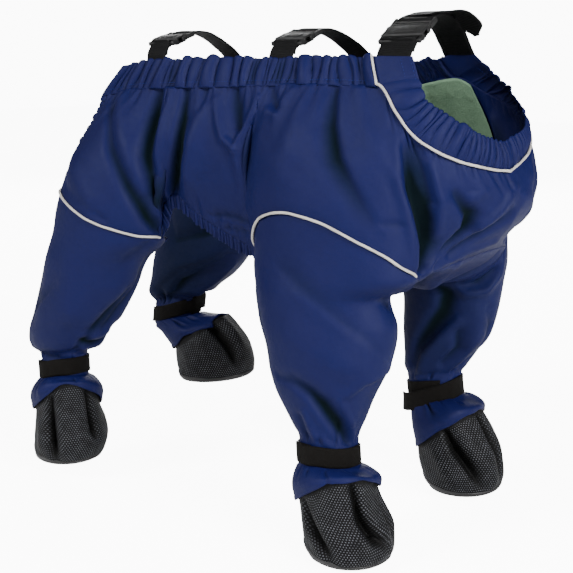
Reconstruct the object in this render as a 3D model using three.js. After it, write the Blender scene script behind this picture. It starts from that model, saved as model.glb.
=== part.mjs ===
// A dog snowsuit worn by nobody: a body panel open along the back, four legs with boots, three back straps.
// Millimetres. X points to the wearer's nose, Y to its left, Z up. The tables below are in the garment's
// standing frame, whose Z is height above the boot soles; the group at the end moves the origin to the
// underside of the middle back strap, where the wearer carries the suit.
import * as THREE from "three";
import { mergeVertices } from "three/addons/utils/BufferGeometryUtils.js";

// ---------------------------------------------------------------- driving sizes
const CLOTH = 1.2; // coated nylon, one layer with its backing
const LINING = 1.0; // brushed lining
const CASING = 2.6; // folded cloth with elastic inside
const BOOT = 1.8; // mesh-printed rubberised cloth
const SOLE = 2.4; // smooth moulded heel and sole
const WEBBING = 1.6;
const ANKLE_STRAP = 2.0;
const GAP = 0.3; // between a piece and what it lies on
const SEAM = 0.9; // between the middle lines of two walls that meet at a seam
const PIPING_RADIUS = 1.8;
const STRAP_HALF = 12.5; // half the ankle strap's width
const EDGE_ELASTIC = 9; // width of the narrow elastic casings on belly, rump and inner thigh
const BACK_X = 5; // the middle strap's place along the standing frame
const BACK_Z = 525; // its underside above the soles
const NEAR = -1; // the wearer's right
const FAR = 1; // the wearer's left

// ---------------------------------------------------------------- finishes
const finish = (color, roughness, metalness = 0) =>
  new THREE.MeshStandardMaterial({ color, roughness, metalness });
const NAVY = finish(0x25315f, 0.42);
const LINING_GREEN = finish(0x93ab93, 0.95);
const REFLECTIVE = finish(0xd5d2cc, 0.5);
const BLACK_WEB = finish(0x161618, 0.8);
const BLACK_PLASTIC = finish(0x131314, 0.4);
const BLACK_ELASTIC = finish(0x17120f, 0.9);
const BOOT_MESH = finish(0x242427, 0.6);
const BOOT_SOLE = finish(0x0e0e10, 0.5);

// ---------------------------------------------------------------- small mathematics
const radians = (degrees) => (degrees * Math.PI) / 180;
const mix = (a, b, t) => a + (b - a) * t;
const mixPoint = (a, b, t) => a.clone().lerp(b, t);
const point = (row) => new THREE.Vector3(row.x, row.y, row.z);
const clamp = (value, low, high) => Math.min(high, Math.max(low, value));

// Rows of numbers become rows with named columns.
function table(columns, rows) {
  return rows.map((row) => Object.fromEntries(columns.map((name, i) => [name, row[i]])));
}

// A smooth curve through every column of a table, read at any value of its first column. It never passes
// beyond its own rows.
function smooth(rows, period = 0) {
  const key = Object.keys(rows[0])[0];
  const wrapped = period
    ? [{ ...rows.at(-1), [key]: rows.at(-1)[key] - period }, ...rows, { ...rows[0], [key]: rows[0][key] + period },
       { ...rows[1], [key]: rows[1][key] + period }]
    : rows;
  const slope = (name, i) => {
    const before = wrapped[Math.max(i - 1, 0)];
    const here = wrapped[i];
    const after = wrapped[Math.min(i + 1, wrapped.length - 1)];
    if (before === here || after === here) return (after[name] - before[name]) / (after[key] - before[key]);
    const back = (here[name] - before[name]) / (here[key] - before[key]);
    const ahead = (after[name] - here[name]) / (after[key] - here[key]);
    if (back * ahead <= 0) return 0;
    const near = here[key] - before[key];
    const far = after[key] - here[key];
    return (3 * (near + far)) / ((2 * far + near) / back + (far + 2 * near) / ahead);
  };
  return (at) => {
    const where = period ? ((at % period) + period) % period : clamp(at, wrapped[0][key], wrapped.at(-1)[key]);
    let i = 0;
    while (i < wrapped.length - 2 && where > wrapped[i + 1][key]) i += 1;
    const span = wrapped[i + 1][key] - wrapped[i][key];
    const t = (where - wrapped[i][key]) / span;
    const read = {};
    for (const name of Object.keys(wrapped[0])) {
      const start = wrapped[i][name];
      const end = wrapped[i + 1][name];
      read[name] =
        start * (2 * t ** 3 - 3 * t ** 2 + 1) + slope(name, i) * span * (t ** 3 - 2 * t ** 2 + t) +
        end * (3 * t ** 2 - 2 * t ** 3) + slope(name, i + 1) * span * (t ** 3 - t ** 2);
    }
    return read;
  };
}

const steps = (from, to, count) => Array.from({ length: count + 1 }, (_, i) => mix(from, to, i / count));

// ---------------------------------------------------------------- meshes from walls
// Outward normals of a grid of points, from each point's neighbours.
function gridNormals(grid, closed) {
  const rows = grid.length;
  const columns = grid[0].length;
  const column = (i) => (closed ? (i + columns) % columns : clamp(i, 0, columns - 1));
  return grid.map((row, j) => row.map((_, i) => {
    const across = grid[j][column(i + 1)].clone().sub(grid[j][column(i - 1)]);
    const down = grid[Math.min(j + 1, rows - 1)][i].clone().sub(grid[Math.max(j - 1, 0)][i]);
    return across.cross(down).normalize();
  }));
}

// The same grid moved along its own normals, away from its middle by a distance, or toward it where negative.
function beside(grid, distance, closed) {
  const normals = gridNormals(grid, closed);
  const middle = new THREE.Vector3();
  const all = grid.flat();
  for (const place of all) middle.addScaledVector(place, 1 / all.length);
  let facing = 0;
  grid.forEach((row, j) => row.forEach((place, i) => { facing += normals[j][i].dot(place.clone().sub(middle)); }));
  const turn = Math.sign(facing) * distance;
  return grid.map((row, j) => row.map((place, i) => place.clone().addScaledVector(normals[j][i], turn)));
}

// A closed wall round a grid of middle points. closed joins the last column to the first; pole shuts the last row.
function wall(name, grid, thickness, material, { closed = false, pole = false } = {}) {
  const normals = gridNormals(grid, closed);
  const rows = grid.length;
  const columns = grid[0].length;
  const points = [];
  for (const side of [0.5, -0.5]) {
    grid.forEach((row, j) => row.forEach((middle, i) => {
      points.push(middle.clone().addScaledVector(normals[j][i], side * thickness));
    }));
  }
  const half = rows * columns;
  const at = (j, i, inner) => inner * half + j * columns + (i % columns);
  const faces = [];
  const quad = (a, b, c, d) => faces.push([a, b, c], [a, c, d]);
  const spans = closed ? columns : columns - 1;
  for (let j = 0; j < rows - 1; j += 1) {
    for (let i = 0; i < spans; i += 1) {
      quad(at(j, i, 0), at(j, i + 1, 0), at(j + 1, i + 1, 0), at(j + 1, i, 0));
      quad(at(j, i, 1), at(j + 1, i, 1), at(j + 1, i + 1, 1), at(j, i + 1, 1));
    }
  }
  for (let i = 0; i < spans; i += 1) {
    quad(at(0, i, 0), at(0, i, 1), at(0, i + 1, 1), at(0, i + 1, 0));
    if (!pole) quad(at(rows - 1, i, 0), at(rows - 1, i + 1, 0), at(rows - 1, i + 1, 1), at(rows - 1, i, 1));
  }
  if (!closed) {
    for (let j = 0; j < rows - 1; j += 1) {
      quad(at(j, 0, 0), at(j + 1, 0, 0), at(j + 1, 0, 1), at(j, 0, 1));
      quad(at(j, columns - 1, 0), at(j, columns - 1, 1), at(j + 1, columns - 1, 1), at(j + 1, columns - 1, 0));
    }
  }
  if (pole) {
    for (const inner of [0, 1]) {
      const centre = new THREE.Vector3();
      for (let i = 0; i < columns; i += 1) centre.addScaledVector(points[at(rows - 1, i, inner)], 1 / columns);
      points.push(centre);
      for (let i = 0; i < columns; i += 1) {
        const face = [at(rows - 1, i, inner), at(rows - 1, i + 1, inner), points.length - 1];
        faces.push(inner ? face.reverse() : face);
      }
    }
  }
  return solid(name, points, faces, material);
}

// A mesh from points and triangles, turned so that its faces point out.
function solid(name, points, faces, material) {
  let volume = 0;
  for (const [a, b, c] of faces) volume += points[a].dot(points[b].clone().cross(points[c]));
  const outward = volume > 0 ? faces : faces.map(([a, b, c]) => [a, c, b]);
  const geometry = new THREE.BufferGeometry();
  geometry.setAttribute("position", new THREE.Float32BufferAttribute(points.flatMap((p) => p.toArray()), 3));
  geometry.setIndex(outward.flat());
  const merged = mergeVertices(geometry, 1e-4);
  merged.computeVertexNormals();
  const mesh = new THREE.Mesh(merged, material);
  mesh.name = name;
  return mesh;
}

// A rod or band along a path: each ring is an outline of [across, out] offsets, in the path's own axes.
function alongPath(name, path, outs, outline, material) {
  const points = [];
  path.forEach((place, i) => {
    const ahead = path[Math.min(i + 1, path.length - 1)].clone().sub(path[Math.max(i - 1, 0)]).normalize();
    const out = outs[i].clone().addScaledVector(ahead, -outs[i].dot(ahead)).normalize();
    const across = ahead.clone().cross(out);
    for (const [a, o] of outline) points.push(place.clone().addScaledVector(across, a).addScaledVector(out, o));
  });
  const n = outline.length;
  const faces = [];
  for (let j = 0; j < path.length - 1; j += 1) {
    for (let i = 0; i < n; i += 1) {
      const k = (i + 1) % n;
      faces.push([j * n + i, j * n + k, (j + 1) * n + k], [j * n + i, (j + 1) * n + k, (j + 1) * n + i]);
    }
  }
  const last = (path.length - 1) * n;
  for (let i = 1; i < n - 1; i += 1) faces.push([0, i + 1, i], [last, last + i, last + i + 1]);
  return solid(name, points, faces, material);
}

const polygon = (radius, sides) =>
  steps(0, 360, sides).slice(0, sides).map((a) => [radius * Math.cos(radians(a)), radius * Math.sin(radians(a))]);
const band = (width, thickness) => [
  [-width / 2, -thickness / 2], [width / 2, -thickness / 2], [width / 2, thickness / 2], [-width / 2, thickness / 2],
];

// ---------------------------------------------------------------- legs: a row for each level section
const RING_COLUMNS = 16; // round each leg, strap, cuff and boot, so that their walls run side by side
const RING_ANGLES = steps(0, 360, RING_COLUMNS).slice(0, RING_COLUMNS);
const SECTION = ["height", "x", "y", "long", "wide"];
const LEGS = {
  fore_R: {
    side: NEAR, ankle: 104, pitch: 2, roll: 9,
    sections: table(SECTION, [
      [84, 88, -118, 29.5, 28.5], [122, 84, -118, 29.5, 28.5], [131, 80, -117, 37, 34], [143, 75, -115, 45, 38],
      [170, 72, -113, 56, 43], [207, 74, -111, 68, 48], [240, 72, -108, 75, 50], [268, 68, -106, 74, 50],
      [293, 82, -103, 91, 48], [335, 76, -101, 89, 46], [360, 66, -100, 84, 45],
    ]),
  },
  fore_L: {
    side: FAR, ankle: 117, pitch: 8, roll: -6,
    sections: table(SECTION, [
      [96, 100, 102, 30, 29], [136, 95, 102, 30, 29], [145, 94, 102, 37, 34], [157, 98, 102, 41, 37],
      [187, 109, 102, 50, 42], [230, 113, 102, 56, 46], [262, 112, 102, 62, 48], [293, 98, 101, 78, 48],
      [335, 86, 100, 85, 46], [360, 72, 99, 80, 45],
    ]),
  },
  hind_R: {
    side: NEAR, ankle: 129, pitch: 8, roll: 8,
    sections: table(SECTION, [
      [108, -296, -106, 28.5, 28], [148, -297, -106, 28.5, 28], [157, -297, -107, 39, 36], [167, -290, -108, 46, 39],
      [182, -281, -109, 52, 42], [200, -270, -109, 55, 45], [240, -249, -108, 62, 48], [270, -236, -108, 65, 49],
      [302, -214, -106, 76, 49], [345, -207, -104, 70, 47], [365, -203, -102, 68, 45],
    ]),
  },
  hind_L: {
    side: FAR, ankle: 155, pitch: 16, roll: -4,
    sections: table(SECTION, [
      [132, -298, 108, 30, 30], [174, -292, 108, 30, 30], [183, -289, 108, 42, 37], [192, -283, 108, 47, 40],
      [210, -268, 107, 58, 44], [235, -252, 106, 69, 48], [270, -236, 105, 74, 50], [302, -216, 105, 78, 50],
      [345, -208, 103, 71, 47], [365, -204, 101, 69, 45],
    ]),
  },
};
for (const leg of Object.values(LEGS)) leg.section = smooth(leg.sections);

// Heights of the leg's top edge round it: 0 faces forward, 90 outward, 180 backward, 270 inward.
const SEAM_HEIGHT = {
  fore: smooth(table(["angle", "height"], [
    [0, 293], [20, 302], [36, 314], [60, 331], [81, 345], [103, 350], [130, 341], [143, 331], [160, 311], [180, 292],
    [205, 276], [235, 263], [270, 256], [305, 259], [335, 274],
  ]), 360),
  hind: smooth(table(["angle", "height"], [
    [0, 302], [33, 306], [64, 315], [81, 321], [101, 331], [130, 344], [155, 352], [180, 355],
    [210, 343], [240, 320], [270, 303], [300, 295], [330, 297],
  ]), 360),
};
const kindOf = (name) => name.split("_")[0];

// The middle of a leg's wall at an angle and a height.
function legPoint(leg, angle, height) {
  const s = leg.section(height);
  const forward = Math.cos(radians(angle));
  const outward = Math.sin(radians(angle));
  return new THREE.Vector3(s.x + s.long * forward, s.y + leg.side * s.wide * outward, height);
}

// The ankle is a slanted ring: pitch lifts its front, roll its outer side.
function ankleHeight(leg, angle) {
  const s = leg.section(leg.ankle);
  const forward = s.long * Math.cos(radians(angle));
  const outward = s.wide * Math.sin(radians(angle));
  return leg.ankle + forward * Math.tan(radians(leg.pitch)) + outward * Math.tan(radians(leg.roll));
}

// A place near the ankle, rise above its slanted ring.
function anklePoint(name, angle, rise) {
  const leg = LEGS[name];
  return legPoint(leg, angle, leg.ankle + rise).setZ(ankleHeight(leg, angle) + rise);
}

const seamPoint = (name, angle) => legPoint(LEGS[name], angle, SEAM_HEIGHT[kindOf(name)](angle).height);

// ---------------------------------------------------------------- body panel, one side: a row for each station
// station 0 is the rump edge, 1 the front of the thigh, 2 the back of the shoulder, 3 its front, 4 the centre front.
// x, y, z: the seam under the waistband or collar; edgeX, edgeY, edgeZ: the gathered edge above it;
// bulge: how far the cloth stands out half-way down.
const STATION = ["station", "x", "y", "z", "edgeX", "edgeY", "edgeZ", "bulge"];
const NECK_START = 2.78; // where the waistband ends and the collar begins
const PANELS = {
  R: {
    side: NEAR, fore: "fore_R", hind: "hind_R",
    rows: table(STATION, [
      [0, -226, -89, 452, -203, -86, 484, 5], [0.5, -180, -96, 462, -168, -87, 492, 14],
      [1, -128, -99, 465, -122, -88, 494, 18], [1.5, -66, -101, 467, -64, -89, 496, 20],
      [2, -6, -102, 470, -6, -89, 496, 18], [2.5, 72, -101, 472, 66, -88, 498, 12],
      [2.78, 123, -98, 471, 112, -88, 498, 10], [3, 147, -103, 445, 168, -88, 459, 10],
      [3.22, 164, -99, 424, 181, -80, 449, 11], [3.43, 182, -90, 411, 193, -69, 439, 13],
      [3.65, 201, -70, 400, 204, -60, 430, 17], [3.82, 215, -49, 394, 214, -42, 422, 21],
      [4, 225, -22, 389, 218, -21, 417, 24],
    ]),
    // The belly edge from the thigh, up over the flank and down to the shoulder.
    belly: table(["station", "x", "y", "z"], [
      [1, -138, -106, 302], [1.05, -137, -105, 320], [1.13, -130, -104, 336], [1.24, -116, -103, 341],
      [1.4, -96, -102, 328], [1.6, -70, -101, 314], [1.8, -44, -100, 303], [2, -9, -103, 292],
    ]),
    neckTop: { x: 154, y: -88, z: 498 },
  },
  L: {
    side: FAR, fore: "fore_L", hind: "hind_L",
    rows: table(STATION, [
      [0, -226, 89, 445, -203, 86, 476, 5], [0.5, -180, 96, 455, -168, 87, 484, 14],
      [1, -128, 99, 458, -122, 88, 487, 18], [1.5, -66, 101, 460, -64, 89, 488, 20],
      [2, -6, 102, 462, -6, 89, 488, 18], [2.5, 64, 101, 466, 60, 88, 491, 12],
      [2.78, 112, 99, 474, 98, 87, 494, 10], [3, 144, 101, 459, 168, 84, 472, 12],
      [3.22, 172, 96, 447, 187, 77, 456, 18], [3.43, 195, 81, 432, 200, 68, 443, 24],
      [3.65, 212, 58, 417, 213, 46, 432, 26], [3.82, 222, 28, 402, 219, 20, 425, 26],
      [4, 225, -22, 389, 218, -21, 417, 24],
    ]),
    belly: table(["station", "x", "y", "z"], [
      [1, -138, 105, 302], [1.05, -137, 105, 320], [1.13, -130, 104, 336], [1.24, -116, 103, 341],
      [1.4, -96, 102, 328], [1.6, -66, 101, 314], [1.8, -34, 100, 303], [2, 20, 102, 292],
    ]),
    neckTop: { x: 130, y: 87, z: 505 },
  },
};
for (const panel of Object.values(PANELS)) {
  panel.top = smooth(panel.rows);
  panel.bellyEdge = smooth(panel.belly);
}

// The chest panel closes the suit between the forelegs: across 0 is the right leg, 1 the left; back 0 is its
// front edge, 1 its gathered rear edge. Its front stands out and up in the middle, and its rear edge hangs.
function chestPoint(across, back) {
  const right = seamPoint("fore_R", 360 - 180 * back);
  const left = seamPoint("fore_L", 360 - 180 * back);
  const arch = 4 * across * (1 - across);
  const place = mixPoint(right, left, across);
  place.x += arch * mix(14, -8, back);
  place.z += arch * mix(9, -9, back);
  return place;
}

function bottomPoint(panel, station) {
  if (station <= 1) return seamPoint(panel.hind, 180 * (1 - station));
  if (station <= 2) return point(panel.bellyEdge(station));
  if (station <= 3) return seamPoint(panel.fore, 180 * (3 - station));
  const across = (station - 3) / 2;
  return chestPoint(panel.side === NEAR ? across : 1 - across, 0);
}

// The largest folds of the body panel: each runs from one place to another, as soft troughs (depth below 0)
// or ridges. Places are station and depth down the panel, 0 at the top seam and 1 at the bottom.
const FOLDS = table(["s0", "d0", "s1", "d1", "wide", "height"], [
  [0.28, 0.06, 0.85, 0.92, 0.1, -5], [0.9, 0.0, 1.12, 0.7, 0.07, -6], [1.12, 0.02, 1.2, 0.75, 0.07, -6],
  [1.5, 0.03, 1.62, 0.45, 0.06, 4], [1.62, 0.1, 1.6, 0.8, 0.07, -4], [2.32, 0.03, 2.45, 0.9, 0.1, -5],
  [2.95, 0.15, 2.98, 0.9, 0.12, -6], [3.35, 0.15, 3.06, 0.9, 0.12, 5], [3.6, 0.2, 3.2, 0.85, 0.12, -5],
]);

function foldHeight(station, depth) {
  let sum = 0;
  for (const fold of FOLDS) {
    const along = clamp((depth - fold.d0) / (fold.d1 - fold.d0), 0, 1);
    const off = (station - mix(fold.s0, fold.s1, along)) / fold.wide;
    const beyond = Math.max(fold.d0 - depth, depth - fold.d1, 0) / 0.12;
    sum += fold.height * Math.exp(-off * off - beyond * beyond) * Math.sin(Math.PI * clamp(along, 0.12, 0.88));
  }
  return sum;
}

// The middle of a body panel's wall, or a place behind it.
function panelPoint(panel, station, depth, behind = 0) {
  const row = panel.top(station);
  const place = mixPoint(point(row), bottomPoint(panel, station), depth);
  const step = 0.02;
  const from = point(panel.top(station - step)).add(bottomPoint(panel, Math.max(station - step, 0)));
  const to = point(panel.top(station + step)).add(bottomPoint(panel, Math.min(station + step, 4)));
  const ahead = to.sub(from);
  const out = new THREE.Vector3(ahead.y, -ahead.x, 0).multiplyScalar(-panel.side).normalize();
  const front = clamp((station - 3.4) / 0.55, 0, 1); // the two panels meet face to face at the centre front
  out.lerp(new THREE.Vector3(1, 0, 0), front * front * (3 - 2 * front)).normalize();
  const arch = Math.sin(Math.PI * depth);
  return place.addScaledVector(out, arch * (row.bulge + foldHeight(station, depth)) - behind);
}

// Share of a panel's height that a length in millimetres takes at a station.
function shareOf(panel, station, length) {
  return length / point(panel.top(station)).distanceTo(bottomPoint(panel, station));
}

// Columns of the body panel on one side: each eighth of a leg's seam, the belly edge's own places, then the chest.
const PANEL_STATIONS = [
  ...steps(0.125, 1, 7), 1.06, 1.12, 1.14, 1.24, 1.4, 1.6, 1.8, 1.97, ...steps(2, 3, 8), ...steps(3.125, 3.875, 6),
];
const PANEL_ROWS = 5;
const hasBellyCasing = (station) => station > 1.13 && station < 1.98;

function panelGrid(panel, stations, behind = 0) {
  return steps(0, 1, PANEL_ROWS).map((down) => stations.map((station) => {
    const casing = hasBellyCasing(station) ? EDGE_ELASTIC : 0;
    const start = shareOf(panel, station, SEAM / 2);
    const end = 1 - shareOf(panel, station, SEAM / 2 + casing);
    return panelPoint(panel, station, mix(start, end, down), behind);
  }));
}

// One piece of cloth from the right rump round the chest to the left rump.
function bodyPanel() {
  const [right, left] = [PANELS.R, PANELS.L].map((panel) => panelGrid(panel, PANEL_STATIONS));
  const centre = panelGrid(PANELS.R, [4]);
  const grid = right.map((row, j) => [...row, ...centre[j], ...left[j].reverse()]);
  return wall("body_panel", grid, CLOTH, NAVY);
}

// ---------------------------------------------------------------- waistband, collar and edge casings
const GATHER = 1.4; // how far the gathers of an elastic casing stand in and out
const CASING_START = 1.1; // a casing's wall starts this far above its seam
// The gather at one of count columns, in and out by turns and none at the ends.
function gather(i, count) {
  if (i === 0 || i === count - 1) return 0;
  return GATHER * (i % 2 ? 1 : -1) * (0.85 + 0.15 * Math.sin(2.3 * i));
}

const edgePoint = (row) => new THREE.Vector3(row.edgeX, row.edgeY, row.edgeZ);

// The middle of the waistband's wall: up is 0 at the seam and 1 at the gathered edge.
function bandPoint(panel, station, up) {
  const row = panel.top(station);
  return mixPoint(point(row), edgePoint(row), up);
}

function waistband(panel, name) {
  const stations = steps(0.04, NECK_START - 0.004, 28);
  const grid = [0, 0.5, 1].map((up, j) => stations.map((station, i) => {
    const place = bandPoint(panel, station, up || CASING_START / 32);
    if (j === 1) place.y += gather(i, stations.length);
    return place;
  }));
  return wall(name, grid, CASING, NAVY);
}

// Along the neck: 0 is the top corner of one side, 1 its centre front. The first part runs up the end of the waistband.
const NECK_RISE = 0.14;
function neckSeam(panel, along) {
  const start = panel.top(NECK_START);
  if (along < NECK_RISE) {
    return mixPoint(edgePoint(start), point(start), along / NECK_RISE);
  }
  return point(panel.top(mix(NECK_START, 4, (along - NECK_RISE) / (1 - NECK_RISE))));
}

function neckEdge(panel, along) {
  const station = mix(NECK_START, 4, (along - NECK_RISE) / (1 - NECK_RISE));
  const first = 3; // the first station whose edge columns are the collar's
  const row = panel.top(Math.max(station, first));
  const edge = edgePoint(row);
  if (station >= first) return edge;
  const share = along / (NECK_RISE + ((first - NECK_START) / (4 - NECK_START)) * (1 - NECK_RISE));
  return mixPoint(point(panel.neckTop), edge, share);
}

const alongOf = (station) => mix(NECK_RISE, 1, (station - NECK_START) / (4 - NECK_START));
const NECK_HALF = [0, 0.07, ...PANEL_STATIONS.filter((station) => station > NECK_START).map(alongOf)];
function neckPlaces() {
  const right = NECK_HALF.map((along) => [PANELS.R, along]);
  const left = NECK_HALF.map((along) => [PANELS.L, along]).reverse();
  return [...right, [PANELS.R, 1], ...left];
}

function collar() {
  const places = neckPlaces();
  const grid = [0, 0.36, 0.7, 1].map((up, j) => places.map(([panel, along], i) => {
    const place = mixPoint(neckSeam(panel, along), neckEdge(panel, along), up || CASING_START / 32);
    const centre = new THREE.Vector3(120, 0, place.z);
    const out = place.clone().sub(centre).normalize();
    const full = clamp(along / 0.16, 0, 1); // the flat top corners neither stand out nor gather
    return place.addScaledVector(out, j === 1 || j === 2 ? full * (3 + gather(i, places.length)) : 0);
  }));
  return wall("collar", grid.reverse(), CASING, NAVY);
}

// The piping stands on the collar just above its seam.
function neckPiping() {
  const rows = neckPlaces().map(([panel, along]) => ({
    seam: neckSeam(panel, along),
    rise: neckEdge(panel, along).sub(neckSeam(panel, along)).normalize(),
  }));
  const stand = CASING / 2 + GAP + PIPING_RADIUS + 0.6;
  const outs = rows.map((row, i) => {
    const ahead = rows[Math.min(i + 1, rows.length - 1)].seam.clone().sub(rows[Math.max(i - 1, 0)].seam);
    const out = ahead.cross(row.rise).normalize();
    return out.multiplyScalar(Math.sign(out.dot(new THREE.Vector3(row.seam.x - 100, row.seam.y, 0))));
  });
  const path = rows.map((row, i) => row.seam.clone().addScaledVector(outs[i], stand));
  return alongPath("neck_piping", path, outs, polygon(PIPING_RADIUS, 5), REFLECTIVE);
}

function bellyElastic(panel, name) {
  const stations = PANEL_STATIONS.filter(hasBellyCasing);
  const grid = [1, 0.5, 0].map((up) => stations.map((station) => {
    const rise = shareOf(panel, station, mix(0, EDGE_ELASTIC - SEAM, up));
    return panelPoint(panel, station, 1 - rise);
  }));
  return wall(name, grid, CASING, NAVY);
}

function rumpElastic(panel, name) {
  const first = PANEL_STATIONS[0];
  const grid = steps(0.03, 0.97, 6).map((depth) => [EDGE_ELASTIC, EDGE_ELASTIC / 2, SEAM].map((back) => {
    const onEdge = panelPoint(panel, first, depth);
    const forward = panelPoint(panel, first + 0.1, depth).sub(onEdge).normalize();
    return onEdge.addScaledVector(forward, -back);
  }));
  return wall(name, grid, CASING, NAVY);
}

function chestPanel() {
  const rows = [0.006, ...steps(0.1, 0.9, 8), 0.93];
  const grid = rows.map((back) => steps(0, 1, 8).map((across) => chestPoint(mix(0.008, 0.992, across), back)));
  return wall("chest_panel", grid, CLOTH, NAVY);
}

function chestElastic() {
  const grid = [0.94, 0.97, 1].map((back) => steps(0.02, 0.98, 8).map((across) => chestPoint(across, back)));
  return wall("chest_elastic", grid, CASING, NAVY);
}

// The lining lies inside a body panel, as far forward as a slanted line from below the collar.
const LINING_FRONT = { top: 2.9, bottom: 3.12 };
const LINING_BEHIND = 2.6; // between the middle of the panel's wall and the lining's
const LINING_BACK = 2.05; // where it begins, above the back of the shoulder
function lining(panel, name) {
  const last = PANEL_STATIONS.filter((station) => station < LINING_FRONT.top).length - 1;
  const first = PANEL_STATIONS.findIndex((station) => station > LINING_BACK);
  const next = PANEL_STATIONS[last + 1];
  const rows = panelGrid(panel, PANEL_STATIONS, LINING_BEHIND);
  const grid = rows.map((row, j) => {
    const front = mix(LINING_FRONT.top, LINING_FRONT.bottom, j / PANEL_ROWS);
    if (front > next) {
      const share = (front - next) / (PANEL_STATIONS[last + 2] - next);
      return [...row.slice(first, last + 2), mixPoint(row[last + 1], row[last + 2], share)];
    }
    const share = (front - PANEL_STATIONS[last]) / (next - PANEL_STATIONS[last]);
    const ends = [share / 2, share].map((part) => mixPoint(row[last], row[last + 1], part));
    return [...row.slice(first, last + 1), ...ends];
  });
  if (panel.side === FAR) grid.forEach((row) => row.reverse()); // the facets run as the body panel's do
  return wall(name, grid, LINING, LINING_GREEN);
}

// ---------------------------------------------------------------- legs with their piping and casings
const LEG_LEVELS = [0, 0.07, 0.22, 0.45, 0.72, 1]; // above the ankle strap
const UNDER_STRAP = STRAP_HALF + 4; // a leg is straight this far above the middle of its ankle

// A level is 0 just above the ankle strap and 1 at the leg's top edge, which trim lowers.
function legWallPoint(name, angle, level, trim) {
  const leg = LEGS[name];
  const slant = ankleHeight(leg, angle) - leg.ankle;
  const low = leg.ankle + slant + UNDER_STRAP;
  const high = SEAM_HEIGHT[kindOf(name)](angle).height - trim;
  const height = mix(low, high, level);
  return legPoint(leg, angle, height - slant * (1 - level)).setZ(height);
}

const innerThigh = (name, angle) => kindOf(name) === "hind" && angle > 185 && angle < 355;

function leg(name) {
  const grid = LEG_LEVELS.map((level) => RING_ANGLES.map((angle) => {
    const trim = SEAM / 2 + GAP + (innerThigh(name, angle) ? EDGE_ELASTIC : 0);
    return legWallPoint(name, angle, level, trim);
  }));
  grid.unshift(RING_ANGLES.map((angle) => anklePoint(name, angle, SEAM / 2)));
  return wall("leg_" + name, grid, CLOTH, NAVY, { closed: true });
}

function legPiping(name) {
  const angles = steps(4, 174, 14);
  const places = angles.map((angle) => seamPoint(name, angle));
  const outs = angles.map((angle) => {
    const outward = LEGS[name].side * Math.sin(radians(angle));
    return new THREE.Vector3(Math.cos(radians(angle)) * 0.6, outward, 0.25).normalize();
  });
  const stand = CLOTH / 2 + GAP + PIPING_RADIUS + 0.6;
  const path = places.map((place, i) => place.addScaledVector(outs[i], stand));
  return alongPath("piping_" + name, path, outs, polygon(PIPING_RADIUS, 5), REFLECTIVE);
}

function thighElastic(name) {
  const angles = RING_ANGLES.filter((angle) => innerThigh(name, angle));
  const grid = [0, 0.5, 1].map((up) => angles.map((angle) => {
    const drop = mix(EDGE_ELASTIC, SEAM / 2, up);
    return legPoint(LEGS[name], angle, SEAM_HEIGHT.hind(angle).height - drop);
  }));
  return wall("thigh_elastic_" + name.at(-1), grid, CASING, NAVY);
}

// ---------------------------------------------------------------- ankle straps, cuffs and boots
function ankleStrap(name) {
  const under = [-STRAP_HALF, STRAP_HALF].map((rise) => RING_ANGLES.map((angle) => anklePoint(name, angle, rise)));
  const grid = beside(under, CLOTH / 2 + GAP + ANKLE_STRAP / 2, true);
  return wall("ankle_strap_" + name, grid, ANKLE_STRAP, BLACK_ELASTIC, { closed: true });
}

// A row for each boot: its sole's centre, its half sizes, its pitch (toe up), and its cuff's lower edge, a ring
// with its own centre, half sizes and pitch, lifted by arch on the side that arch_at faces.
const BOOTS = Object.fromEntries(table(
  ["name", "x", "y", "z", "long", "wide", "pitch", "cuffX", "cuffY", "cuffZ", "cuffLong", "cuffWide", "cuffPitch",
   "arch", "archAt"], [
    ["fore_R", 112, -120, 3, 42, 42, 0, 97, -119, 66, 43, 42, 10, 14, 60],
    ["fore_L", 137, 102, 6, 42, 43, 2, 116, 102, 72, 43, 42, 26, 6, 300],
    ["hind_R", -295, -107, 19, 39, 40, 0, -295, -106, 92, 39, 40, 4, 20, 60],
    ["hind_L", -229, 108, 76, 52, 45, 8, -253, 108, 138, 44, 40, 36, 4, 300],
  ]).map((row) => [row.name, row]));

// A tilted ring of the boot or cuff: centre, half sizes and pitch.
function tiltedRing(side, centre, long, wide, pitch, angle) {
  const forward = long * Math.cos(radians(angle));
  const outward = side * wide * Math.sin(radians(angle));
  const turn = radians(pitch);
  return new THREE.Vector3(
    centre.x + forward * Math.cos(turn), centre.y + outward, centre.z + forward * Math.sin(turn));
}

function cuffPoint(name, angle, down) {
  const boot = BOOTS[name];
  const centre = { x: boot.cuffX, y: boot.cuffY, z: boot.cuffZ };
  const hem = tiltedRing(LEGS[name].side, centre, boot.cuffLong, boot.cuffWide, boot.cuffPitch, angle);
  hem.z += boot.arch * (0.5 + 0.5 * Math.cos(radians(angle - boot.archAt))) ** 2;
  const straight = STRAP_HALF + 2;
  if (down < 0.34) return anklePoint(name, angle, -mix(SEAM / 2, straight, down / 0.34));
  return mixPoint(anklePoint(name, angle, -straight), hem, ((down - 0.34) / 0.66) ** 0.8);
}

function cuff(name) {
  const grid = [1, 0.67, 0.34, 0].map((down) => RING_ANGLES.map((angle) => cuffPoint(name, angle, down)));
  return wall("cuff_" + name, grid, CLOTH, NAVY, { closed: true });
}

// Rings down the boot from its cuff to its sole: how far up it is, share of its half sizes, and push forward.
const BOOT_RINGS = table(["up", "size", "push"], [
  [0.74, 1.04, 4], [0.45, 1.09, 6], [0.2, 1.06, 4], [0.06, 0.97, 2], [0.0, 0.76, 0],
]);
const BOOT_CREASES = table(["angle", "wide", "depth"], [[25, 14, 3], [100, 12, 4]]);

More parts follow.
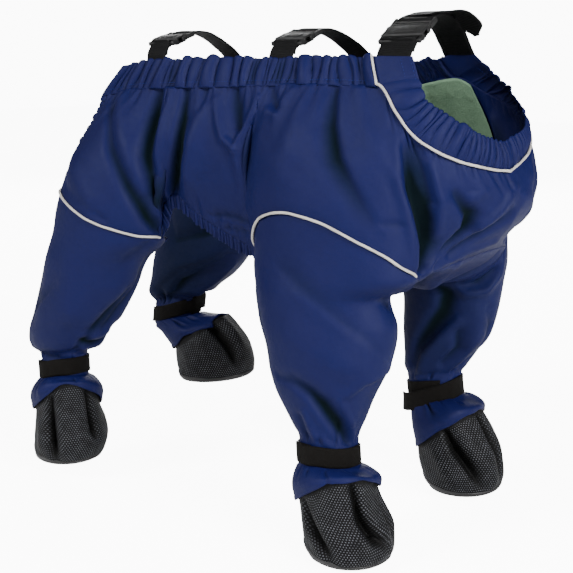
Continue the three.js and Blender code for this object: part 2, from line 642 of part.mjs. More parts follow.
function bootRing(name, row, angle) {
  const boot = BOOTS[name];
  let crease = 0;
  for (const c of BOOT_CREASES) crease += c.depth * Math.exp(-(((angle - c.angle) / c.wide) ** 2));
  const fade = clamp((row.up - 0.1) / 0.25, 0, 1) * crease;
  const centre = {
    x: mix(boot.x, boot.cuffX, row.up) + row.push, y: mix(boot.y, boot.cuffY, row.up), z: mix(boot.z, boot.cuffZ, row.up),
  };
  const long = mix(boot.long, boot.cuffLong, row.up) * row.size - fade;
  const wide = mix(boot.wide, boot.cuffWide, row.up) * row.size - fade;
  return tiltedRing(LEGS[name].side, centre, long, wide, mix(boot.pitch, boot.cuffPitch, row.up), angle);
}

// The boot's rings: those that lie inside its cuff follow it, the rest have their own sizes.
const IN_CUFF = [0.67, 1];
function bootGrid(name) {
  const cuffGrid = [0.34, ...IN_CUFF].map((down) => RING_ANGLES.map((angle) => cuffPoint(name, angle, down)));
  const inside = beside(cuffGrid, -(CLOTH / 2 + BOOT / 2 + GAP + 0.3), true).slice(1);
  const below = BOOT_RINGS.map((row) => RING_ANGLES.map((angle) => bootRing(name, row, angle)));
  return [...inside, ...below];
}

// The smooth heel and sole reach up to this height behind and only a little in front.
const soleShare = (angle) => 0.5 - 0.5 * Math.cos(radians(angle));

// The seam between boot and sole: share of the way up from the boot's lowest ring to its widest.
const soleSeam = (high, low, i) => mixPoint(low, high, 0.12 + 0.8 * soleShare(RING_ANGLES[i]));

function bootUpper(name) {
  const rings = bootGrid(name);
  const split = IN_CUFF.length + 1; // the ring above the sole seam
  const upper = rings.slice(0, split + 1);
  upper.push(rings[split].map((high, i) => mixPoint(soleSeam(high, rings[split + 2][i], i), high, 0.05)));
  return wall("boot_" + name, upper.reverse(), BOOT, BOOT_MESH, { closed: true });
}

function bootSole(name) {
  const rings = bootGrid(name);
  const split = IN_CUFF.length + 1;
  const seam = rings[split].map((high, i) => soleSeam(high, rings[split + 2][i], i));
  return wall("sole_" + name, [seam, ...rings.slice(split + 2)], SOLE, BOOT_SOLE, { closed: true, pole: true });
}

// ---------------------------------------------------------------- back straps with side-release buckles
// A row for each strap: place along the back at its right and left end, and webbing width.
const STRAPS = table(["name", "rightX", "leftX", "width"], [
  ["rear", -159, -164, 25], ["middle", 5, 5, 28], ["neck", 133, 119, 36],
]);
const BUCKLE_THICK = 8;
const WEB_END = 0.9; // between the webbing's end and the buckle's
// Pairs of Y and height: the stub above the right edge, the buckle's two ends, and the way over to the left edge.
const ROUTES = {
  rear: { stub: [[-81, 500]], buckle: [[-74, 509], [-32, 520]], over: [[-14, 525], [4, 526], [28, 521], [52, 508], [70, 494]] },
  middle: { stub: [[-82, 502]], buckle: [[-76, 509], [-34, 522]], over: [[-16, 525.6], [0, 525.8], [26, 522.6], [52, 511], [71, 497]] },
  neck: { stub: [[-80, 504]], buckle: [[-73, 511], [-32, 532]], over: [[-12, 537], [8, 538], [32, 533], [54, 523], [69, 512]] },
};

function strapPlace(strap, [y, z]) {
  const across = clamp((y + 90) / 180, 0, 1);
  return new THREE.Vector3(mix(strap.rightX, strap.leftX, across), y, z);
}

// From the middle of a waistband's gathered wall, or of the collar's flat corner, to the middle of the webbing inside it.
const HELD_IN = { waist: 4.1, collar: 2.9 };
// Where a strap's end lies inside its waistband or the collar's top corner; up is 1 at the gathered edge.
function heldPoint(strap, panel, up) {
  const wanted = panel.side === NEAR ? strap.rightX : strap.leftX;
  let station = 0;
  while (station < NECK_START && bandPoint(panel, station, 1).x < wanted) station += 0.01;
  if (strap.name === "neck") {
    const corner = edgePoint(panel.top(NECK_START));
    return new THREE.Vector3(wanted, corner.y - panel.side * HELD_IN.collar, corner.z - (1 - up) * 28);
  }
  const place = bandPoint(panel, station, up);
  place.x = wanted;
  place.y -= panel.side * HELD_IN.waist;
  return place;
}

function strapPaths(strap) {
  const route = ROUTES[strap.name];
  const [from, to] = route.buckle.map((pair) => strapPlace(strap, pair));
  const along = to.clone().sub(from).normalize();
  const held = (panel) => [0.35, 0.7, 0.98].map((up) => heldPoint(strap, panel, up));
  const stub = [...held(PANELS.R), ...route.stub.map((pair) => strapPlace(strap, pair)),
    from.clone().addScaledVector(along, -WEB_END)];
  const over = [to.clone().addScaledVector(along, WEB_END), ...route.over.map((pair) => strapPlace(strap, pair)),
    ...held(PANELS.L).reverse()];
  return { stub, over };
}

function webbing(name, path, width) {
  const outs = path.map((_, i) => {
    const ahead = path[Math.min(i + 1, path.length - 1)].clone().sub(path[Math.max(i - 1, 0)]);
    return new THREE.Vector3(1, 0, 0).cross(ahead).normalize();
  });
  return alongPath(name, path, outs, band(width, WEBBING), BLACK_WEB);
}

// The neck strap's loose end lies on the strap past the buckle, then stands free, forward and down.
const TAIL_WIDTH = 30;
function neckTail() {
  const rows = [[127, -26, 536.4], [129, -10, 540.5], [139, 6, 541.9], [151, 17, 539], [159, 26, 529], [164, 32, 517]];
  const path = rows.map((p) => new THREE.Vector3(...p));
  const outs = path.map((_, i) => new THREE.Vector3(i > 2 ? 0.5 : 0, i > 2 ? 0.3 : 0, 1));
  return alongPath("strap_tail_neck", path, outs, band(TAIL_WIDTH, WEBBING), BLACK_WEB);
}

// Half a buckle: a frame with a slot for the webbing's bar, in the plane of the strap.
function buckleHalf(name, strap, from, to, slotAt) {
  const start = strapPlace(strap, from);
  const end = strapPlace(strap, to);
  const length = start.distanceTo(end);
  const half = (strap.width + 8) / 2;
  const corner = 4;
  const shape = new THREE.Shape();
  shape.moveTo(-half + corner, 0);
  shape.lineTo(half - corner, 0);
  shape.lineTo(half, corner);
  shape.lineTo(half, length - corner);
  shape.lineTo(half - corner, length);
  shape.lineTo(-half + corner, length);
  shape.lineTo(-half, length - corner);
  shape.lineTo(-half, corner);
  shape.closePath();
  const slot = new THREE.Path();
  const slotHalf = strap.width / 2 + 0.5;
  const low = slotAt * length - 1.8;
  const high = slotAt * length + 1.8;
  slot.moveTo(-slotHalf, low);
  slot.lineTo(-slotHalf, high);
  slot.lineTo(slotHalf, high);
  slot.lineTo(slotHalf, low);
  slot.closePath();
  shape.holes.push(slot);
  const geometry = new THREE.ExtrudeGeometry(shape, { depth: BUCKLE_THICK, bevelEnabled: false, steps: 1 });
  geometry.translate(0, 0, -BUCKLE_THICK / 2);
  geometry.deleteAttribute("normal");
  geometry.deleteAttribute("uv");
  const mesh = new THREE.Mesh(mergeVertices(geometry, 1e-4), BLACK_PLASTIC);
  const along = end.clone().sub(start).normalize();
  const across = new THREE.Vector3(1, 0, 0).addScaledVector(along, -along.x).normalize();
  const up = across.clone().cross(along);
  mesh.setRotationFromMatrix(new THREE.Matrix4().makeBasis(across, along, up));
  mesh.position.copy(start);
  mesh.name = name;
  return mesh;
}

function buckle(strap) {
  const [from, to] = ROUTES[strap.name].buckle;
  const share = 0.58;
  const cut = [mix(from[0], to[0], share), mix(from[1], to[1], share)];
  const clear = 0.008;
  const next = [mix(from[0], to[0], share + clear), mix(from[1], to[1], share + clear)];
  return [
    buckleHalf("buckle_socket_" + strap.name, strap, from, cut, 0.16),
    buckleHalf("buckle_plug_" + strap.name, strap, next, to, 0.78),
  ];
}

// ---------------------------------------------------------------- assembly
const standing = new THREE.Group();
standing.position.set(-BACK_X, 0, -BACK_Z);

for (const [letter, panel] of Object.entries(PANELS)) {
  standing.add(waistband(panel, "waistband_" + letter));
  standing.add(bellyElastic(panel, "belly_elastic_" + letter));
  standing.add(rumpElastic(panel, "rump_elastic_" + letter));
  standing.add(lining(panel, "lining_" + letter));
  standing.add(thighElastic("hind_" + letter));
}
standing.add(bodyPanel(), collar(), neckPiping(), chestPanel(), chestElastic(), neckTail());
for (const name of Object.keys(LEGS)) {
  standing.add(leg(name), legPiping(name), ankleStrap(name), cuff(name), bootUpper(name), bootSole(name));
}
for (const strap of STRAPS) {
  const paths = strapPaths(strap);
  standing.add(webbing("strap_stub_" + strap.name, paths.stub, strap.width));
  standing.add(webbing("strap_" + strap.name, paths.over, strap.width));
  standing.add(...buckle(strap));
}

const snowsuit = new THREE.Group();
snowsuit.add(standing);
export default snowsuit;
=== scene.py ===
"""A dog snowsuit of navy coated nylon, in its worn shape with nobody in it.

The suit's own sizes are in millimetres in its standing frame: x to the wearer's nose, y to its left and z up from
the boot soles. Everything built is in the row frame, in metres, whose origin is under the middle back strap.
"""

import logging
import math
import random
from collections.abc import Callable
from dataclasses import dataclass, field
from enum import Enum

import bmesh
import bpy
import numpy as np
from mathutils import Matrix, Vector

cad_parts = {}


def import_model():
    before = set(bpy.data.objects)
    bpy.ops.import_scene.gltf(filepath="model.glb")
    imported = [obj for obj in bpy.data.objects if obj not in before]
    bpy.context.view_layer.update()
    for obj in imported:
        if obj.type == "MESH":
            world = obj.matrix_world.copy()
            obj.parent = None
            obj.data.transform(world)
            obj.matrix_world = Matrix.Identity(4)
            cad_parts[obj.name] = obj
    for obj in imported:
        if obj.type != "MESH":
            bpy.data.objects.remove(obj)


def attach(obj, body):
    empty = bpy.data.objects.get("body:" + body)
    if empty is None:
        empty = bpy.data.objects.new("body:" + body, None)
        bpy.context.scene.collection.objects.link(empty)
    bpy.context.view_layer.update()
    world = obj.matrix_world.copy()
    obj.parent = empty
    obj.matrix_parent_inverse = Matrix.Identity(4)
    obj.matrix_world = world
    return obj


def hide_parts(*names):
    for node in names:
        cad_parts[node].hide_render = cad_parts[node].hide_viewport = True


LOG = logging.getLogger("snowsuit")

Array = np.ndarray
Values = np.ndarray | float
Piece = bpy.types.Object
Socket = bpy.types.NodeSocket
Pair = tuple[float, float]
Triple = tuple[float, float, float]
Colour = tuple[int, int, int]

ROW_ORIGIN = np.array((5.0, 0.0, 525.0))
NEAR, FAR = -1.0, 1.0
BACKWARD = np.array((-1.0, 0.0, 0.0))
# thickness of each cloth
CLOTH, LINING, CASING, BOOT, SOLE, WEBBING, ELASTIC, SHIRRED = 1.2, 1.0, 1.4, 1.8, 2.4, 1.6, 1.9, 1.5
# the collar's corner: its station, and the share of the neck's line that it takes
NECK_START, NECK_RISE = 2.78, 0.14
REAR_EDGE = 0.125  # station of the body panel's rear edge
STRAP_HALF, BAND_RISE, BAND_LOW = 12.5, 2.0, 9.0  # the ankle strap's place round its middle line
CUFF_START = 0.26  # share of the cuff that the ankle strap covers
SEAM, EDGE_ELASTIC = 0.9, 9.0  # a seam's allowance and an elastic casing's width
HEADING_STEP = 0.02  # stations each way between which a side's direction is taken
PUCKER_REACH = 26.0  # how far along a seam a pucker is felt


# ------------------------------------------------------------------------------------------- curves and forms
def unit(vectors: Array) -> Array:
    """Returns: the vectors along the last axis, each of length 1."""
    return vectors / np.maximum(np.linalg.norm(vectors, axis=-1, keepdims=True), 1e-9)


def lengths(vectors: Array) -> Array:
    """Returns: the length of each vector along the last axis."""
    return np.linalg.norm(vectors, axis=-1)


def arc_lengths(line: Array) -> Array:
    """Returns: the distance along a line of each of its points."""
    return np.concatenate([[0.0], np.cumsum(lengths(np.diff(line, axis=0)))])


def cosine(angle: Values) -> Array:
    """Returns: the cosine of degrees."""
    return np.cos(np.radians(angle))


def sine(angle: Values) -> Array:
    """Returns: the sine of degrees."""
    return np.sin(np.radians(angle))


def alike(*values: Values) -> list[Array]:
    """Returns: the values as arrays of one shape."""
    return np.broadcast_arrays(*(np.asarray(value, float) for value in values))


def ease(value: Values, low: float, high: float) -> Array:
    """Returns: a soft step from 0 at low to 1 at high."""
    t = np.clip((np.asarray(value, float) - low) / (high - low), 0, 1)
    return t * t * (3 - 2 * t)


def cubic(t: Array, start: Array, leave: Array, end: Array, arrive: Array) -> Array:
    """Returns: the cubic from start to end at t, with the slopes leave and arrive."""
    first = start * (2 * t**3 - 3 * t**2 + 1) + leave * (t**3 - 2 * t**2 + t)
    return first + end * (3 * t**2 - 2 * t**3) + arrive * (t**3 - t**2)


class Curve:
    """A smooth curve through rows of numbers, read at any value of their first column, never beyond its rows."""

    def __init__(self, rows: list[list[float]] | Array, period: float = 0.0) -> None:
        """Args:
        rows: numbers, the first column rising.
        period: after how much of the first column the curve repeats, or 0.
        """
        data = np.array(rows, float)
        if period:
            shift = np.zeros(data.shape[1])
            shift[0] = period
            data = np.vstack([data[-1] - shift, data, data[0] + shift, data[1] + shift])
        self.period, self.keys, self.values = period, data[:, 0], data[:, 1:]
        step = np.diff(self.keys)[:, None]
        rate = np.diff(self.values, axis=0) / step
        self.slope = np.zeros_like(self.values)
        self.slope[0], self.slope[-1] = rate[0], rate[-1]
        near, far, back, ahead = step[:-1], step[1:], rate[:-1], rate[1:]
        with np.errstate(divide="ignore", invalid="ignore"):
            inner = 3 * (near + far) / ((2 * far + near) / back + (far + 2 * near) / ahead)
        self.slope[1:-1] = np.where(back * ahead > 0, inner, 0.0)

    def at(self, where: Values) -> Array:
        """Args:
        where: values of the first column.

        Returns:
            The other columns there, as the last axis.
        """
        where = np.asarray(where, float)
        where = np.mod(where, self.period) if self.period else np.clip(where, self.keys[0], self.keys[-1])
        i = np.clip(np.searchsorted(self.keys, where, side="left") - 1, 0, len(self.keys) - 2)
        span = (self.keys[i + 1] - self.keys[i])[..., None]
        t = (where - self.keys[i])[..., None] / span
        return cubic(t, self.values[i], self.slope[i] * span, self.values[i + 1], self.slope[i + 1] * span)


LEG_SEAM = {
    "fore": Curve([[0, 293], [20, 302], [36, 314], [60, 331], [81, 345], [103, 350], [130, 341],
                  [143, 331], [160, 311],
                   [180, 292], [205, 276], [235, 263], [270, 256], [305, 259], [335, 274]], 360),
    "hind": Curve([[0, 302], [33, 306], [64, 315], [81, 321], [101, 331], [130, 344], [155, 352],
                  [180, 355], [210, 343],
                   [240, 320], [270, 303], [300, 295], [330, 297]], 360),
}


@dataclass
class LegForm:
    """The form of one leg: level sections from above the boot to the body seam.

    name: fore_R and so on.
    side: NEAR or FAR.
    ankle: height of the middle of the ankle strap.
    pitch: degrees by which the ankle's ring rises forward.
    roll: degrees by which it rises outward.
    rows: height, x, y, half length and half width of each section.
    """

    name: str
    side: float
    ankle: float
    pitch: float
    roll: float
    rows: list[list[float]]

    def __post_init__(self) -> None:
        """Makes its curves."""
        self.section, self.seam = Curve(self.rows), LEG_SEAM[self.name[:4]]
        ring = self.section.at(self.ankle)
        self.rise = (ring[2] * math.tan(math.radians(self.pitch)), ring[3] * math.tan(math.radians(self.roll)))

    def point(self, angle: Values, height: Values, level: Values | None = None) -> Array:
        """Args:
        angle: degrees round the leg, 0 forward, 90 outward, 180 backward.
        height: above the soles.
        level: height whose section is used, if it isn't the same.

        Returns:
            Places on the middle of the leg's wall.
        """
        angle, height = alike(angle, height)
        s = self.section.at(height if level is None else level)
        long, wide = s[..., 2] * cosine(angle), s[..., 3] * sine(angle)
        return np.stack([s[..., 0] + long, s[..., 1] + self.side * wide, height], -1)

    def ankle_height(self, angle: Values) -> Array:
        """Returns: the height of the ankle strap's middle line at degrees round the leg."""
        return self.ankle + self.rise[0] * cosine(angle) + self.rise[1] * sine(angle)

    def ankle_point(self, angle: Values, rise: Values) -> Array:
        """Returns: places on the leg's wall, rise millimetres above the ankle strap's middle line."""
        angle, rise = alike(angle, rise)
        return self.point(angle, self.ankle_height(angle) + rise, self.ankle + rise)

    def ankle_middle(self) -> Array:
        """Returns: the middle of the leg at the ankle strap."""
        return self.ankle_point(np.array((0.0, 180.0)), 0.0).mean(axis=0)

    def seam_height(self, angle: Values) -> Array:
        """Returns: the height of the seam between leg and body at degrees round the leg."""
        return self.seam.at(angle)[..., 0]

    def seam_point(self, angle: Values) -> Array:
        """Returns: places on the seam between leg and body at degrees round the leg."""
        return self.point(angle, self.seam_height(angle))

    def wall(self, angle: Values, level: Values, trim: Values = 0.0) -> Array:
        """Args:
        angle: degrees round the leg.
        level: 0 at the middle of the ankle strap, 1 at the leg's top edge.
        trim: how far that edge lies below the seam.

        Returns:
            Places on the middle of the leg's wall.
        """
        low = self.ankle_height(angle)
        height = low + (self.seam_height(angle) - trim - low) * level
        return self.point(angle, height, height - (low - self.ankle) * (1 - ease(level, 0.05, 0.9)))


LEGS = {
    leg.name: leg
    for leg in (
        LegForm("fore_R", NEAR, 104, 2, 9, [
            [84, 88, -118, 29.5, 28.5], [122, 85, -118, 29.5, 28], [131, 83, -117, 34, 31],
            [143, 81, -115, 41, 35.5],
            [170, 77, -113, 55, 42], [207, 79, -111, 69, 48], [240, 75, -108, 76, 50], [268, 68, -106, 73, 50],
            [293, 82, -103, 91, 48], [335, 76, -101, 89, 46], [360, 66, -100, 84, 45]]),
        LegForm("fore_L", FAR, 117, 8, -6, [
            [96, 100, 102, 30, 29], [136, 95, 102, 30, 29], [145, 96, 102, 35, 33], [157, 100, 102, 39, 36],
            [187, 109, 102, 50, 42], [230, 113, 102, 56, 46], [262, 112, 102, 62, 48], [293, 98, 101, 78, 48],
            [335, 86, 100, 85, 46], [360, 72, 99, 80, 45]]),
        LegForm("hind_R", NEAR, 129, 8, 8, [
            [108, -294, -106, 26.5, 26.5], [148, -295, -106, 26.5, 26.5], [157, -290, -107, 43, 36],
            [167, -287, -108, 49, 39], [182, -281, -109, 52, 42], [200, -270, -109, 55, 45],
            [240, -249, -108, 62, 48],
            [270, -236, -108, 65, 49], [302, -214, -106, 76, 49], [345, -207, -104, 70, 47],
            [365, -203, -102, 68, 45]]),
        LegForm("hind_L", FAR, 155, 16, -4, [
            [132, -298, 108, 30, 30], [174, -292, 108, 30, 30], [183, -285, 108, 46, 37],
            [192, -280, 108, 51, 40],
            [210, -266, 107, 61, 44], [235, -252, 106, 69, 48], [270, -236, 105, 74, 50],
            [302, -216, 105, 78, 50],
            [345, -208, 103, 71, 47], [365, -204, 101, 69, 45]]),
    )
}


def chest_point(across: Values, back: Values) -> Array:
    """Args:
    across: 0 at the right leg, 1 at the left.
    back: 0 at the chest panel's front edge, 1 at its gathered rear edge.

    Returns:
        Places on the panel under the chest.
    """
    across, back = alike(across, back)
    right, left = (LEGS[name].seam_point(360 - 180 * back) for name in ("fore_R", "fore_L"))
    arch = 4 * across * (1 - across)
    place = right + (left - right) * across[..., None]
    place[..., 0] += arch * (14 - 22 * back)
    place[..., 2] += arch * (9 - 18 * back)
    return place


@dataclass
class SideForm:
    """One side of the body, by stations: 0 rump, 1 thigh front, 2 shoulder back, 3 shoulder front, 4 centre front.

    side: NEAR or FAR.
    letter: R or L.
    rows: station, the top seam's place, the gathered edge's place above it, and the bulge half-way down.
    belly_rows: station and place of the belly edge between the legs.
    neck_top: the collar's top corner.
    """

    side: float
    letter: str
    rows: list[list[float]]
    belly_rows: list[list[float]]
    neck_top: Triple

    def __post_init__(self) -> None:
        """Makes its curves; index tells the two sides' random runs apart."""
        self.index = "RL".index(self.letter)
        self.fore, self.hind = LEGS["fore_" + self.letter], LEGS["hind_" + self.letter]
        self.top, self.belly = Curve(self.rows), Curve(self.belly_rows)

    def bottom(self, station: Array) -> Array:
        """Args:
        station: stations.

        Returns:
            Places on the body's lower edge.
        """
        chest = chest_point((station - 3) / 2 if self.side == NEAR else (5 - station) / 2, 0.0)
        thigh = self.hind.seam_point(180 * (1 - station))
        shoulder = self.fore.seam_point(180 * (3 - station))
        at = station[..., None]
        return np.select([at <= 1, at <= 2, at <= 3], [thigh, self.belly.at(station), shoulder], chest)

    def _run(self, station: Array) -> Array:
        """Returns: the sum of the top's and bottom's places, whose change gives the side's direction."""
        return self.top.at(station)[..., :3] + self.bottom(np.clip(station, 0, 4))

    def point(self, station: Values, depth: Values, behind: float = 0.0) -> Array:
        """Args:
        station: stations.
        depth: 0 at the top seam, 1 at the bottom.
        behind: how far inside the wall.

        Returns:
            Places on the body's wall, with no folds.
        """
        station, depth = alike(station, depth)
        row = self.top.at(station)
        place = row[..., :3] + (self.bottom(station) - row[..., :3]) * depth[..., None]
        ahead = self._run(station + HEADING_STEP) - self._run(station - HEADING_STEP)
        out = unit(np.stack([ahead[..., 1], -ahead[..., 0], np.zeros(station.shape)], -1) * -self.side)
        front = ease(station, 3.4, 3.95)[..., None]
        out = unit(out * (1 - front) - BACKWARD * front)
        return place + out * (np.sin(np.pi * depth) * row[..., 6] - behind)[..., None] + self.corner(station, depth)

    def corner(self, station: Array, down: Array) -> Array:
        """Returns: how the rump's slack top corner bulges backwards; down is below 0 up the waistband."""
        swell = 10.5 * np.exp(-((station / 0.26) ** 2) - ((down + 0.01) / 0.14) ** 2)
        return swell[..., None] * BACKWARD

    def tall(self, station: Array) -> Array:
        """Returns: how tall the side is at stations."""
        return lengths(self.point(station, 1.0) - self.point(station, 0.0))

    def band(self, station: Values, up: Values) -> Array:
        """Args:
        station: stations.
        up: 0 at the waistband's seam, 1 at its edge.

        Returns:
            Places on the waistband, with no gathers.
        """
        station, up = alike(station, up)
        row = self.top.at(station)
        place = row[..., :3] + (row[..., 3:6] - row[..., :3]) * up[..., None]
        return place + self.corner(station, -0.15 * up)

    def neck_seam(self, along: Array) -> Array:
        """Args:
        along: 0 at the collar's top corner, 1 at the centre front.

        Returns:
            Places on the seam under the collar.
        """
        start = self.top.at(NECK_START)
        rise = start[3:6] + (start[:3] - start[3:6]) * np.clip(along / NECK_RISE, 0, 1)[..., None]
        share = np.clip((along - NECK_RISE) / (1 - NECK_RISE), 0, 1)
        on = self.top.at(NECK_START + (4 - NECK_START) * share)[..., :3]
        return np.where((along < NECK_RISE)[..., None], rise, on)

    def neck_edge(self, along: Array) -> Array:
        """Args:
        along: 0 at the collar's top corner, 1 at the centre front.

        Returns:
            Places on the collar's open edge.
        """
        station = NECK_START + (4 - NECK_START) * (along - NECK_RISE) / (1 - NECK_RISE)
        edge = self.top.at(np.maximum(station, 3))[..., 3:6]
        share = along / (NECK_RISE + ((3 - NECK_START) / (4 - NECK_START)) * (1 - NECK_RISE))
        before = self.neck_top + (edge - self.neck_top) * np.clip(share, 0, 1)[..., None]
        return np.where((station >= 3)[..., None], edge, before)


SIDES = {
    "R": SideForm(NEAR, "R", [
        [0, -226, -89, 452, -203, -86, 484, 5], [0.5, -180, -96, 462, -168, -87, 492, 14],
        [1, -128, -99, 465, -122, -88, 494, 18], [1.5, -66, -101, 467, -64, -89, 496, 20],
        [2, -6, -102, 470, -6, -89, 496, 18], [2.5, 72, -101, 472, 66, -88, 498, 12],
        [2.78, 123, -98, 471, 112, -88, 498, 10], [3, 147, -103, 445, 168, -88, 459, 10],
        [3.22, 164, -99, 424, 181, -80, 449, 11], [3.43, 182, -90, 411, 193, -69, 439, 13],
        [3.65, 201, -70, 400, 204, -60, 430, 17], [3.82, 215, -49, 394, 214, -42, 422, 21],
        [4, 225, -22, 389, 218, -21, 417, 24]],
        [[1, -138, -106, 302], [1.05, -137, -105, 320], [1.13, -130, -104, 336], [1.24, -116, -103, 341],
         [1.4, -96, -102, 328], [1.6, -70, -101, 314], [1.8, -44, -100, 303],
         [2, -9, -103, 292]], (154, -88, 498)),
    "L": SideForm(FAR, "L", [
        [0, -226, 89, 445, -203, 86, 476, 5], [0.5, -180, 96, 455, -168, 87, 484, 14],
        [1, -128, 99, 458, -122, 88, 487, 18], [1.5, -66, 101, 460, -64, 89, 488, 20],
        [2, -6, 102, 462, -6, 89, 488, 18], [2.5, 64, 101, 466, 60, 88, 491, 12],
        [2.78, 112, 99, 474, 98, 87, 494, 10], [3, 144, 101, 459, 168, 84, 472, 12],
        [3.22, 172, 96, 447, 187, 77, 456, 18], [3.43, 195, 81, 432, 200, 68, 443, 24],
        [3.65, 212, 58, 417, 213, 46, 432, 26], [3.82, 222, 28, 402, 219, 20, 425, 26],
        [4, 225, -22, 389, 218, -21, 417, 24]],
        [[1, -138, 105, 302], [1.05, -137, 105, 320], [1.13, -130, 104, 336], [1.24, -116, 103, 341],
         [1.4, -96, 102, 328], [1.6, -66, 101, 314], [1.8, -34, 100, 303], [2, 20, 102, 292]], (130, 87, 505)),
}


# ------------------------------------------------------------------------------------------- folds and gathers
@dataclass(frozen=True)
class Fold:
    """A trough (height below 0) or ridge along a line on a cloth.

    rows: place along, place down, height and half width in millimetres, at each point of the line.
    lean: from -1 to 1, how much steeper one flank is than the other.
    """

    rows: tuple[tuple[float, float, float, float], ...]
    lean: float = 0.0


def fold_heights(places: Array, normals: Array, folds: tuple[Fold, ...], locate: Callable) -> Array:
    """Args:
    places: points of a cloth, (..., 3).
    normals: its outward normals there.
    folds: the folds on it.
    locate: turns (along, down) arrays of a fold's rows into places.

    Returns:
        How far each point stands out, (...).
    """
    shape, places, normals = places.shape[:-1], places.reshape(-1, 3), normals.reshape(-1, 3)
    total = np.zeros(len(places))
    for fold in folds:
        rows = np.array(fold.rows, float)
        line = locate(rows[:, 0], rows[:, 1])
        best, height, width, side = (np.full(len(places), value) for value in (1e9, 0.0, 1.0, 0.0))
        for a, b, start, end in zip(line[:-1], line[1:], rows[:-1], rows[1:]):
            span = b - a
            length = float(span @ span) or 1e-6
            t = np.clip(((places - a) @ span) / length, 0, 1)
            off = places - (a + t[:, None] * span)
            far = lengths(off)
            near = far < best
            best[near] = far[near]
            height[near] = (start[2] + (end[2] - start[2]) * t)[near]
            width[near] = (start[3] + (end[3] - start[3]) * t)[near]
            side[near] = np.einsum("ij,ij->i", np.cross(span / math.sqrt(length), off), normals)[near]
        x = best / (width * (1 + fold.lean * np.tanh(2 * side / width)))
        total += height * np.exp(-x * x)
    return total.reshape(shape)


class Gathers:
    """Uneven puffs between creases along a gathered length, as elastic draws cloth up."""

    def __init__(self, seed: int, length: float, spacing: Pair, height: float, slant: float) -> None:
        """Args:
        seed: which random run.
        length: of the gathered edge, in millimetres.
        spacing: least and most distance between creases.
        height: of a puff as wide as the mean spacing.
        slant: how far a crease wanders over the casing's width, at most.
        """
        rng = random.Random(seed)
        at, creases = -spacing[1], []
        while at < length + 2 * spacing[1]:
            creases.append(at)
            at += spacing[0] + (spacing[1] - spacing[0]) * rng.random() ** 1.6
        self.creases = np.array(creases)
        widths = np.diff(self.creases)
        uneven = np.array([rng.uniform(0.55, 1.15) for _ in widths])
        self.heights = height * (widths / float(widths.mean())) ** 0.8 * uneven
        self.slants = np.array([rng.uniform(-slant, slant) for _ in creases])

    def height(self, at: Array, up: Values) -> Array:
        """Args:
        at: millimetres along the edge.
        up: 0 to 1 across the casing.

        Returns:
            How far each point stands out of the creases.
        """
        lean = np.interp(at, self.creases, self.slants) * (up - 0.5)
        bow = 0.6 * np.interp(at, self.creases, np.roll(self.slants, 3)) * np.sin(np.pi * np.clip(up, 0, 1))
        where = at - lean - bow
        i = np.clip(np.searchsorted(self.creases, where) - 1, 0, len(self.creases) - 2)
        t = np.clip((where - self.creases[i]) / (self.creases[i + 1] - self.creases[i]), 0, 1)
        return self.heights[i] * np.maximum(1 - (2 * t - 1) ** 2, 0) ** 0.62


@dataclass
class PuckerRun:
    """Short creases of uneven length and depth that run out from a gathered seam.

    creases: place along the seam, depth, share of the greatest length, and lean of each.
    """

    creases: list[tuple[float, float, float, float]]

    @classmethod
    def drawn(cls, seed: int, length: float, spacing: Pair, depth: float) -> "PuckerRun":
        """Args:
        seed: which random run.
        length: of the seam.
        spacing: least and most distance between creases.
        depth: of a middling crease.

        Returns:
            The run.
        """
        rng = random.Random(seed)
        at, creases = rng.uniform(0, spacing[1]), []
        while at < length:
            creases.append((at, depth * rng.uniform(0.3, 1.6), rng.random(), rng.uniform(-0.25, 0.25)))
            at += rng.uniform(*spacing)
        return cls(creases)

    def tails(self, at: Array, off: Array, reach: Pair) -> Array:
        """Args:
        at: millimetres along the seam.
        off: millimetres away from it.
        reach: least and most length of a crease.

        Returns:
            Heights, 0 or less in a crease and a little above 0 beside it.
        """
        total = np.zeros(np.shape(at))
        for place, depth, share, lean in self.creases:
            near = np.abs(at - place) < PUCKER_REACH
            o = off[near]
            x = (at[near] - place - lean * o) / (1.5 + 0.11 * o)
            fade = np.exp(-((o / (reach[0] + (reach[1] - reach[0]) * share**2)) ** 2))
            total[near] += depth * fade * (-1.35 * np.exp(-x * x) + 0.5 * np.exp(-((np.abs(x) - 1.7) ** 2)))
        return total


def waves(at: Array, seed: int, shortest: float, longest: float, count: int = 5) -> Array:
    """Args:
    at: millimetres along something.
    seed: which random run.
    shortest: shortest wave.
    longest: longest wave.
    count: how many waves are added.

    Returns:
        A smooth uneven curve between about -1 and 1.
    """
    rng = random.Random(seed)
    total = np.zeros(np.shape(at))
    for _ in range(count):
        size = shortest * (longest / shortest) ** rng.random()
        total += math.sqrt(size / longest) * np.sin(2 * math.pi * (at / size + rng.random()))
    return total / math.sqrt(count)


def painted_shade_of(heights: Array, depth: float) -> Array:
    """Returns: how much painted shade each point gets from its fold, 1 where its height is -depth."""
    return np.clip(-heights / depth, 0, 1) ** 1.15


